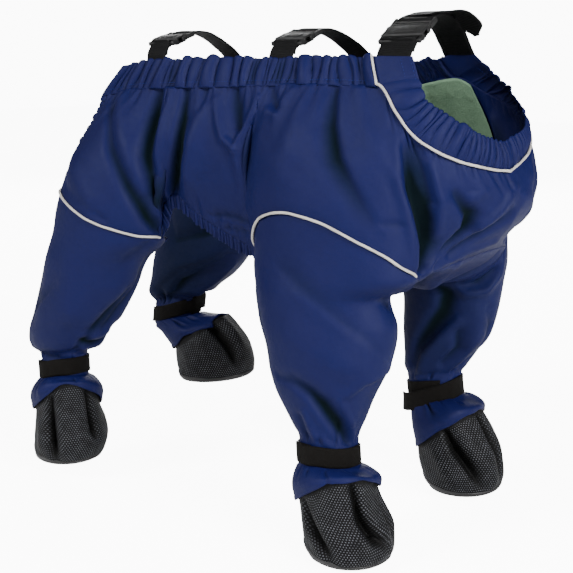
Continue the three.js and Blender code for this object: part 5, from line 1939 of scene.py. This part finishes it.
@dataclass
class Leg(Part):
    """One leg with its piping, ankle strap, cuff, boot and sole.

    name: fore_R and so on.
    girth: about how far it is round, above the ankle strap.
    cuff_girth: the same of the cuff.
    """

    name: str
    around: int = 144
    rows: int = 84
    girth: float = 190.0
    cuff_girth: float = 260.0

    def __post_init__(self) -> None:
        """Finds its forms, and the middles of the leg and of the boot."""
        self.form, self.boot, self.band = LEGS[self.name], BOOTS[self.name], BANDS[self.name]
        self.hind = self.name.startswith("hind")
        self.seed = 100 + 10 * sorted(LEGS).index(self.name)
        height = self.form.ankle + 60.0
        self.inside = np.array((*self.form.section.at(height)[:2], height))
        self.in_boot = np.array(self.boot.sole) + np.array((0, 0, 30.0))
        self.angle = np.linspace(0, 360, self.around + 1)

    def build(self) -> list[Piece]:
        """Returns: the leg's pieces."""
        return [self.cloth(), self.piping(), self.strap(), self.cuff(), self.upper(), self.sole()]

    def puckers(self, run: PuckerRun, girth: float, off: Array, reach: Pair) -> Array:
        """Args:
        run: creases that start round the leg.
        girth: how far it is round.
        off: millimetres from where they start.
        reach: least and most length of a crease.

        Returns:
            Their heights, going on across the leg's front.
        """
        at = np.broadcast_to(self.angle / 360 * girth, off.shape)
        return sum(run.tails(at + shift, off, reach) for shift in (0.0, girth, -girth))

    def cloth(self) -> Piece:
        """Returns: the leg itself, from the ankle to the body's seam."""
        level = np.linspace(0.006, 1, self.rows)[:, None]
        inner = ease(self.angle, 186, 200) * (1 - ease(self.angle, 340, 354)) * self.hind
        places = self.form.wall(self.angle, level, EDGE_ELASTIC * inner)
        tall = lengths(self.form.seam_point(self.angle) - self.form.wall(self.angle, 0.0))
        normals = grid_normals(places, True, self.inside)
        heights = fold_heights(places, normals, LEG_FOLDS[self.name], self.form.wall)
        over = level * tall
        run = PuckerRun.drawn(self.seed, self.girth, (8.0, 26.0), 2.2)
        creases = self.puckers(run, self.girth, np.maximum(over - STRAP_HALF, 0), (8.0, 36.0))
        heights += creases * ease(over, STRAP_HALF - 2, STRAP_HALF + 5)
        around = np.radians(self.angle)
        uneven = np.sin(2 * around + over / 40 + self.seed) + 0.4 * np.sin(3 * around - over / 26)
        heights += 0.7 * uneven * ease(over, 20, 50)
        heights *= (0.25 + 0.75 * ease(tall - over, 0, 9)) * ease(over, STRAP_HALF - 4, STRAP_HALF + 6)
        # painted shade: in the hollows of the folds, and on the inner faces of the left legs
        shade = SHADED.get(self.name, 0.0) * np.clip(-np.sin(around), 0, 1) * ease(level, 0.02, 0.25)
        made = GridMesh("leg_" + self.name, places + normals * heights[..., None], self.inside,
                        {"hollow": np.maximum(painted_shade_of(heights + 0.9, 7.0), shade)})
        return made.sew(self.finishes.nylon, CLOTH)

    def piping(self) -> Piece:
        """Returns: the reflective piping along the outer half of its seam, whose ends hook in."""
        first, last = PIPED[self.name]
        angle = np.linspace(first, last, 150)
        outs = unit(np.stack([cosine(angle) * 0.6, self.form.side * sine(angle), np.full(len(angle), 0.25)], -1))
        hook = np.exp(-((angle - first) / 5) ** 2) + np.exp(-((angle - last) / 5) ** 2)
        line = self.form.seam_point(angle) + outs * (CLOTH / 2 + 2.2 - 2.6 * hook)[:, None]
        return Piping(self.finishes, "piping_" + self.name, line, outs).build()

    def strap(self) -> Piece:
        """Returns: the elastic ankle strap, whose end laps over its start."""
        band, full, low, high = self.band, 360 + self.band.lap, -BAND_LOW, STRAP_HALF + 1
        travel = np.linspace(0, full, 150)
        angle = band.start + band.turn * travel
        across = np.linspace(-band.half, band.half, 9)[:, None]
        rise = across + BAND_RISE + band.tilt * cosine(angle - band.high_at) - band.drop * ease(travel, 300, full)
        places = self.form.ankle_point(np.mod(angle, 360), np.clip(rise, low, high))
        places[..., 2] += np.minimum(rise - low, 0) + np.maximum(rise - high, 0)
        middle = self.form.ankle_middle()
        normals = grid_normals(places, False, middle)
        off = CLOTH / 2 + 1.3 + 2.2 * ease(travel, 346, 366) - 0.25 * ease(12 - travel, 0, 12)
        off = off + band.loose * ease(travel, 372, full)
        off = off + 0.35 * waves(travel * 0.55, self.seed + 3, 12, 50) * (across / band.half) ** 2
        places = places + normals * off[..., None]
        places[..., 2] += 0.7 * waves(travel * 0.5, self.seed + 4, 30, 90)
        made = GridMesh("ankle_strap_" + self.name, places, middle)
        return made.sew(self.finishes.elastic, ELASTIC)

    def cuff(self) -> Piece:
        """Returns: the short cuff between the ankle strap and the boot."""
        down, crumple = np.linspace(0.02, 1, 32)[:, None], self.boot.crumple
        places = self.boot.cuff_point(self.angle, down)
        middle = (np.array(self.boot.cuff) + self.form.ankle_middle()) / 2
        normals = grid_normals(places, True, middle)
        drop = lengths(places - places[0])
        run = PuckerRun.drawn(self.seed + 5, self.cuff_girth, (10.0, 30.0), 1.1 * crumple)
        heights = self.puckers(run, self.cuff_girth, np.maximum(drop - BAND_LOW, 0), (6.0, 18.0))
        heights += crumple * 0.8 * self.looped(self.seed + 6, 3, drop / 30)
        skirt = ease(down, 0.45, 0.8)
        heights = heights * (1 - skirt) + np.maximum(heights + 1.0, 0.0) * skirt
        hem = ease(down, 0.88, 0.95) * (1 - 0.8 * ease(down, 0.97, 1.0))
        heights = (heights + 0.7 * hem) * ease(drop, BAND_LOW, BAND_LOW + 5)
        places = places + normals * heights[..., None]
        lift = crumple * (0.9 * self.looped(self.seed + 7, 2) + 0.35 * self.looped(self.seed + 8, 6))
        places[..., 2] += (lift - 1.5) * down**2
        # the hollows of the cuff's creases get painted shade
        made = GridMesh("cuff_" + self.name, places, middle, {"hollow": painted_shade_of(heights + 0.4, 5.0)})
        return made.sew(self.finishes.nylon, CLOTH)

    def looped(self, seed: int, turns: int, shift: Values = 0.0) -> Array:
        """Args:
        seed: which random run.
        turns: how many waves go round at least.
        shift: how far the waves have turned at each point.

        Returns:
            An uneven wave that closes on itself round the leg.
        """
        rng, around, total = random.Random(seed), np.radians(self.angle), 0.0
        for more in range(4):
            size, start = rng.uniform(0.3, 0.7), rng.uniform(0, 6.28)
            total = total + size * np.sin((turns + more) * around + start + shift * rng.uniform(-1, 1))
        return total

    def upper(self) -> Piece:
        """Returns: the boot above its smooth sole."""
        angle, share = np.linspace(0, 360, 153), np.linspace(0, 1, 74)[:, None]
        level = 0.05 + (self.seam_level(angle) - 0.07) * share
        places, heights, _ = self.boot_grid(angle, level)
        off = lengths(places - self.boot.cuff_point(angle, 1.0))
        rim = np.clip((1 - ease(off, 5.5, 8.5)) + (level < 1.0), 0, 1)
        # the hollows of the boot's folds get painted shade
        made = GridMesh("boot_" + self.name, places, self.in_boot,
                        {"hollow": painted_shade_of(heights + 0.8, 5.0), "rim": rim})
        return made.sew(self.finishes.boot, BOOT)

    @staticmethod
    def seam_level(angle: Array) -> Array:
        """Returns: the level of the seam between the boot and its sole, at degrees round the boot."""
        return 5.0 - 2.0 * (0.02 + 0.88 * (0.5 - 0.5 * cosine(angle)) ** 2)

    def boot_grid(self, angle: Array, level: Array) -> tuple[Array, Array, Array]:
        """Args:
        angle: degrees round the boot.
        level: levels of the grid.

        Returns:
            Places with their folds, the folds' heights, and the normals.
        """

        def locate(along: Array, down: Array) -> Array:
            """Returns: places of a fold's rows on this boot."""
            pick = np.arange(len(along))
            return self.boot.surface(along, down[:, None])[pick, pick]

        places = self.boot.surface(angle, level)
        normals = grid_normals(places, True, self.in_boot)
        heights = fold_heights(places, normals, self.boot.folds, locate)
        around = np.radians(angle)
        heights += 0.5 * np.sin(5 * around + level + self.seed) + 0.4 * np.sin(8 * around - 1.7 * level)
        heights *= ease(level, 0.9, 1.3) * (1 - ease(level, 4.7, 5.8))
        heights -= 3.0 * (1 - ease(level, 0.35, 0.98))
        return places + normals * heights[..., None], heights, normals

    def sole(self) -> Piece:
        """Returns: the smooth heel and sole."""
        angle, share = np.linspace(0, 360, 129), np.linspace(0, 1, 26)[:, None]
        start = self.seam_level(angle) + 0.02
        places, _, normals = self.boot_grid(angle, start + (6 - start) * share)
        centre, inner = places[-1].mean(axis=0), np.linspace(1, 0, 12)[1:-1, None, None]
        floor = centre + (places[-1] - centre) * inner - np.array((0, 0, 0.6)) * (1 - inner)
        places = places + normals * (0.5 * ease(share, 0.0, 0.06))[..., None]
        name = "sole_" + self.name
        made = GridMesh(name, np.concatenate([places, floor]), self.in_boot).build(self.finishes.sole)
        self.close_pole(made)
        add_thickness(made, SOLE)
        return dress(made, [name])

    @staticmethod
    def close_pole(made: Piece) -> None:
        """Args:
        made: a cup whose smallest ring is closed.
        """
        bm = bmesh.new()
        bm.from_mesh(made.data)
        rims = [edge for edge in bm.edges if edge.is_boundary]
        low = min(vert.co.z for edge in rims for vert in edge.verts)
        close_holes(bm, [edge for edge in rims if max(vert.co.z for vert in edge.verts) < low + 0.004])
        for face in bm.faces:
            face.smooth = True
        bm.to_mesh(made.data)
        bm.free()


# ------------------------------------------------------------------------------------------- straps and buckles
FORWARD = Vector((1.0, 0.0, 0.0))
# how far in from the collar's corner, and how far down it, the neck strap's two ends are held
NECK_HELD = {NEAR: (2.9, 28.0), FAR: (-5.2, 9.0)}
HELD_BEHIND = 4.1  # how far inside the waistband's wall the other straps' ends are held


@dataclass(frozen=True)
class StrapForm:
    """A webbing strap over the back, in two parts that a buckle joins.

    right_x: its place along the back at the right end.
    left_x: the same at the left end.
    width: of the webbing.
    stub: places above the right edge, as (y, height).
    buckle: the buckle's two ends.
    over: the way over to the left edge.
    """

    name: str
    right_x: float
    left_x: float
    width: float
    stub: tuple[Pair, ...]
    buckle: tuple[Pair, Pair]
    over: tuple[Pair, ...]

    def place(self, pair: Pair) -> Array:
        """Returns: the place on the strap's middle, from its y and height."""
        across = min(max((pair[0] + 90) / 180, 0), 1)
        return np.array((self.right_x + (self.left_x - self.right_x) * across, *pair))

    def held(self, side: SideForm, up: float) -> Array:
        """Args:
        side: which side holds it.
        up: 1 at the gathered edge.

        Returns:
            Where it lies inside the waistband or at the collar's flat corner.
        """
        wanted = self.right_x if side.side == NEAR else self.left_x
        if self.name == "neck":
            corner, (inward, deep) = side.top.at(NECK_START)[3:6], NECK_HELD[side.side]
            return np.array((wanted, corner[1] - inward * side.side, corner[2] - (1 - up) * deep))
        order = np.linspace(0, NECK_START, 400)
        place = side.band(np.interp(wanted, side.band(order, 1.0)[:, 0], order), up)
        return np.array((wanted, place[1] - side.side * HELD_BEHIND, place[2]))


STRAPS = (
    StrapForm("rear", -159, -172, 25, ((-81, 500),), ((-74, 509), (-32, 520)),
              ((-14, 523), (4, 521.5), (28, 515), (52, 505), (70, 495))),
    StrapForm("middle", 5, 5, 28, ((-82, 502),), ((-76, 509), (-34, 522)),
              ((-16, 524.6), (0, 522.6), (26, 516.5), (52, 507), (71, 497.5))),
    StrapForm("neck", 133, 119, 36, ((-80, 504),), ((-73, 511), (-32, 532)),
              ((-12, 537), (8, 538), (32, 533), (54, 523), (69, 512))),
)
NECK_TAIL = (
    (127, -26, 536.4), (129, -10, 539.3), (138, 6, 540.6), (150, 17, 538.5), (159, 26, 529), (164, 32, 517))


def smooth_line(points: Array, count: int) -> Array:
    """Args:
    points: a few points of a line, (n, 3).
    count: how many are wanted.

    Returns:
        Points of a smooth line through them.
    """
    at = arc_lengths(points)
    order = np.linspace(0, at[-1], count)
    i = np.clip(np.searchsorted(at, order) - 1, 0, len(points) - 2)
    padded = np.vstack([2 * points[0] - points[1], points, 2 * points[-1] - points[-2]])
    slopes = (padded[2:] - padded[:-2]) / 2
    t = ((order - at[i]) / (at[i + 1] - at[i]))[:, None]
    return cubic(t, points[i], slopes[i], points[i + 1], slopes[i + 1])


@dataclass
class Webbing(Part):
    """A flat length of webbing along a line.

    name: of the piece.
    line: its middle, (n, 3).
    width: of the webbing.
    cut: its flat cut.
    across: roughly across it.
    tip: over how many millimetres its end narrows.
    """

    name: str
    line: Array
    width: float
    cut: Cut
    across: Triple = (1.0, 0.0, 0.0)
    tip: float = 0.0

    def build(self) -> Piece:
        """Returns: the webbing."""
        ahead = unit(np.gradient(self.line, axis=0))
        across = np.array(self.across)
        across = unit(across - ahead * np.sum(across * ahead, axis=1, keepdims=True))
        share = np.linspace(-0.5, 0.5, 9)[:, None]
        at = arc_lengths(self.line)
        wide = np.full(len(at), self.width)
        if self.tip:
            wide = wide * (1 - 0.75 * ease(at, at[-1] - self.tip, at[-1]) ** 1.5)
        curl = 0.5 * waves(at, 91, 20, 70) * share
        places = self.line + across * (share * wide)[..., None] + np.cross(across, ahead) * curl[..., None]
        made = GridMesh(self.name, places, self.line.mean(axis=0) - np.array((0, 0, 400.0)))
        return made.sew(self.finishes.webbing, WEBBING, self.cut.held is not Held.FOLDED)


@dataclass
class Buckle(Part):
    """A side-release buckle: a socket on the stub and a plug with a ladder of bars.

    strap: the strap it joins.
    share: how much of its length the socket takes.
    """

    strap: StrapForm
    share: float = 0.58

    def __post_init__(self) -> None:
        """Works out its own frame: x across the strap, y along it, z outward."""
        start, end = (self.strap.place(pair) for pair in self.strap.buckle)
        self.length = float(lengths(end - start))
        along = unit(end - start)
        across = unit(np.array(FORWARD) - along * along[0])
        turn = Matrix((across, along, np.cross(across, along))).transposed().to_4x4()
        self.frame = Matrix.Translation(Vector(to_row(start))) @ turn
        self.half = (self.strap.width + 8) / 2

    @staticmethod
    def bar(bm: bmesh.types.BMesh, centre: Triple, size: Triple, round_by: float = 0.6, taper: float = 0.0) -> None:
        """Args:
        bm: the mesh it is added to.
        centre: in the buckle's frame, in millimetres.
        size: across, along and thick.
        round_by: radius of its edges.
        taper: by how much its far end is narrower.
        """
        made = bmesh.ops.create_cube(bm, size=1.0)["verts"]
        for vert in made:
            vert.co.x *= size[0] - taper * (vert.co.y + 0.5)
            vert.co.y *= size[1]
            vert.co.z *= size[2]
        bmesh.ops.translate(bm, verts=made, vec=Vector(centre))
        edges = list({edge for vert in made for edge in vert.link_edges})
        bmesh.ops.bevel(bm, geom=edges, offset=round_by, segments=3, profile=0.5, affect="EDGES", material=-1)

    def finish(self, bm: bmesh.types.BMesh, name: str) -> Piece:
        """Args:
        bm: the mesh, in the buckle's frame in millimetres.
        name: of the piece and its CAD node.

        Returns:
            The piece in its place.
        """
        bmesh.ops.scale(bm, vec=(0.001, 0.001, 0.001), verts=bm.verts)
        bmesh.ops.transform(bm, matrix=self.frame, verts=bm.verts)
        bmesh.ops.recalc_face_normals(bm, faces=bm.faces)
        made = link_mesh(bm, name, self.finishes.plastic.material)
        made.data.set_sharp_from_angle(angle=math.radians(40))
        return dress(made, [name])

    def socket(self) -> Piece:
        """Returns: the female half with its bar for the stub's loop."""
        bm = bmesh.new()
        long, half = self.length * self.share, self.half
        shell = long - 8.5
        middle = 8.4 + shell / 2
        for side in (-1, 1):
            self.bar(bm, (side * (half - 1.6), 4.6, 0), (3.2, 9.2, 4.2))
            self.bar(bm, (side * (half - 1.3), long - 2.2, 0), (2.6, 4.4, 7.0))
            self.bar(bm, (side * (half - 1.3), 9.6, 0), (2.6, 3.6, 7.0))
        self.bar(bm, (0, 1.5, 0), (2 * half - 2, 3.0, 3.6), 1.2)
        self.bar(bm, (0, 9.2, 0), (2 * half - 1, 3.0, 6.8), 1.0)
        for face in (-1, 1):
            self.bar(bm, (0, middle, face * 3.1), (2 * half - 1.0, shell, 1.8), 0.8, 1.6)
        self.bar(bm, (0, middle, 0), (half * 0.7, shell - 1, 6.0), 0.5)
        self.bar(bm, (0, middle + 0.2, 4.1), (half * 1.0, shell * 0.5, 0.8), 0.35)
        return self.finish(bm, "buckle_socket_" + self.strap.name)

    def plug(self) -> Piece:
        """Returns: the male half: its two prongs' shoulders and the ladder that the webbing runs through."""
        bm = bmesh.new()
        start, end, half = self.length * (self.share + 0.008), self.length, self.half
        base = start + 2.6
        self.bar(bm, (0, base, 0), (2 * half - 2.5, 4.8, 7.0), 1.2)
        long = end - base
        for side in (-1, 1):
            self.bar(bm, (side * (half - 1.8), base + long / 2, 0), (3.4, long, 5.2), 0.9)
            self.bar(bm, (side * (half - 0.6), start - 4.6, 0), (3.0, 5.6, 5.0), 1.1)
            self.bar(bm, (side * (half - 2.4), start - 1.4, 0), (2.4, 6.6, 3.6), 0.8)
        self.bar(bm, (0, base + long * 0.50, 1.0), (2 * half - 4, 2.6, 3.0), 1.0)
        self.bar(bm, (0, end - 1.5, -0.6), (2 * half - 2, 3.0, 3.4), 1.1)
        self.bar(bm, (0, end - 0.2, 1.8), (half * 1.1, 2.2, 1.8), 0.7)
        return self.finish(bm, "buckle_plug_" + self.strap.name)


@dataclass
class BackStrap(Part):
    """A back strap: stub, buckle and the length over the back, with the neck's loose tail.

    form: its sizes and route.
    """

    form: StrapForm

    def webbing(self, kind: str, points: list[Array], count: int, held: Held, less: float = 0.0) -> Piece:
        """Args:
        kind: what its name starts with.
        points: of its line.
        count: how many points its line gets.
        held: how it is held.
        less: how much narrower than the strap it is.

        Returns:
            A length of the strap's webbing.
        """
        line, width = smooth_line(np.array(points), count), self.form.width
        cut = Cut(width, float(arc_lengths(line)[-1]), 1.0, held)
        return Webbing(self.finishes, kind + self.form.name, line, width - less, cut).build()

    def build(self) -> list[Piece]:
        """Returns: its pieces."""
        form, buckle = self.form, Buckle(self.finishes, self.form)
        start, end = (form.place(pair) for pair in form.buckle)
        along = unit(end - start)
        up = unit(np.cross(np.array(FORWARD), along))

        def near(place: Array, ahead: float, high: float) -> Array:
            """Returns: a place moved along the buckle and up from it."""
            return place + along * ahead + up * high

        stub = [*(form.held(SIDES["R"], share) for share in (0.35, 0.7, 0.98)),
                *(form.place(pair) for pair in form.stub), near(start, -0.6, -0.4), near(start, 1.2, 3.2),
                near(start, 4.4, 1.6)]
        fold = [near(start, 4.6, 0.6), near(start, 2.0, -2.4), near(start, -3.0, -3.6),
                near(form.place(form.stub[0]), 1.5, -3.4)]
        over = [near(end, -5.0, -0.2), near(end, -1.0, 1.6), near(end, 3.0, 0.6),
                *(form.place(pair) for pair in form.over),
                *(form.held(SIDES["L"], share) for share in (0.98, 0.7, 0.35))]
        made = [self.webbing("strap_stub_", stub, 46, Held.LAID),
                self.webbing("strap_fold_", fold, 20, Held.FOLDED, 0.6),
                self.webbing("strap_", over, 90, Held.LAID), buckle.socket(), buckle.plug()]
        if form.name == "neck":
            line = smooth_line(np.array(NECK_TAIL, float), 50)
            made.append(Webbing(self.finishes, "strap_tail_neck", line, 30.0, Cut(30, 84, 0.95, Held.HUNG),
                                (1.0, -0.35, 0.0), 13.0).build())
        return made


# ------------------------------------------------------------------------------------------- scene
WHITE = (1.0, 1.0, 1.0, 1.0)
# name, place, side in metres and power in watts of each soft light
SOFTBOXES = (
    ("right softbox", (2.4, -0.9, 1.05), 1.3, 160.0),
    ("front softbox", (-0.2, -2.6, 0.2), 1.4, 12.0),
    ("back softbox", (-1.6, 2.3, 0.7), 1.5, 60.0),
)


@dataclass
class Studio:
    """Camera, lights and floor.

    turn: degrees by which the camera looks to the left of the y axis.
    down: degrees by which it looks down.
    ambient: strength of the surroundings' light.
    backdrop: the same as the camera sees it.
    floor_glow: the floor's, as the camera sees it.
    """

    camera_place: Triple = (0.629, -1.016, -0.015)
    turn: float = 33.75
    down: float = 12.5
    lens: float = 69.0
    floor_height: float = -0.5262
    ambient: float = 0.14
    backdrop: float = 11.0
    floor_glow: float = 9.7

    @staticmethod
    def stand(name: str, data: bpy.types.ID, place: Triple, ahead: Vector) -> Piece:
        """Args:
        name: of the camera or light.
        data: its own data.
        place: where it stands.
        ahead: where it looks.

        Returns:
            Its object in the scene.
        """
        made = bpy.data.objects.new(name, data)
        made.location = place
        made.rotation_mode = "QUATERNION"
        made.rotation_quaternion = ahead.to_track_quat("-Z", "Y")
        bpy.context.scene.collection.objects.link(made)
        return made

    def set_camera(self) -> None:
        """Makes the camera."""
        data = bpy.data.cameras.new("camera")
        data.lens, data.sensor_width = self.lens, 36.0
        turn, down = math.radians(self.turn), math.radians(self.down)
        ahead = Vector((-math.sin(turn) * math.cos(down), math.cos(turn) * math.cos(down), -math.sin(down)))
        bpy.context.scene.camera = self.stand("camera", data, self.camera_place, ahead)

    def lamp(self, kind: str, name: str, place: Triple, power: float) -> bpy.types.Light:
        """Args:
        kind: AREA or SUN.
        name: of the light.
        place: where it stands; it faces the suit.
        power: in watts, or watts per square metre for the sun.

        Returns:
            The light's own data.
        """
        data = bpy.data.lights.new(name, kind)
        data.energy = power
        self.stand(name, data, place, Vector((0, 0, -0.22)) - Vector(place))
        return data

    def build(self) -> None:
        """Makes the lights, the surroundings and the floor."""
        self.lamp("SUN", "key", (-1.1, -1.9, 1.35), 3.5).angle = math.radians(16)
        for name, place, size, power in SOFTBOXES:
            softbox = self.lamp("AREA", name, place, power)
            softbox.shape, softbox.size = "SQUARE", size
        world = bpy.data.worlds.new("surroundings")
        world.use_nodes = True
        board, back = NodeBoard(world.node_tree), world.node_tree.nodes["Background"].inputs
        seen = board.add("ShaderNodeLightPath").outputs["Is Camera Ray"]
        board.feed(back["Strength"], board.span(seen, 0.0, 1.0, self.ambient, self.backdrop))
        back["Color"].default_value = WHITE
        bpy.context.scene.world = world
        bm = bmesh.new()
        bmesh.ops.create_grid(bm, x_segments=4, y_segments=4, size=6.0)
        bmesh.ops.translate(bm, verts=bm.verts, vec=(0, 0, self.floor_height))
        material = bpy.data.materials.new("studio floor")
        material.use_nodes = True
        floor, shader = NodeBoard(material.node_tree), material.node_tree.nodes["Principled BSDF"].inputs
        seen = floor.add("ShaderNodeLightPath").outputs["Is Camera Ray"]
        for name, value in (("Base Color", (0.92, 0.92, 0.92, 1.0)), ("Roughness", 0.9), ("Emission Color", WHITE),
                            ("Emission Strength", floor.math("MULTIPLY", seen, self.floor_glow))):
            floor.feed(shader[name], value)
        link_mesh(bm, "studio_floor", material)


@dataclass
class Snowsuit(Part):
    """The whole suit."""

    def build(self) -> list[Piece]:
        """Returns: every piece."""
        made = self.finishes
        waists = {letter: Waistband(made, letter) for letter in SIDES}
        pieces = [BodyPanel(made).build(waists), ChestPanel(made).build()]
        for letter, waist in waists.items():
            pieces += [*waist.build(), Lining(made, letter).build()]
        for part in (Collar(made), EdgeElastics(made), *(Leg(made, name) for name in LEGS),
                     *(BackStrap(made, form) for form in STRAPS)):
            pieces += part.build()
        return pieces


def main() -> None:
    """Builds the scene round the frame."""
    logging.basicConfig(level=logging.INFO, format="%(name)s: %(message)s")
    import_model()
    studio = Studio()
    studio.set_camera()
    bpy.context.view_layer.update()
    pieces = Snowsuit(Finishes()).build()
    studio.build()
    LOG.info("%d pieces", len(pieces))


if __name__ == "__main__":
    main()
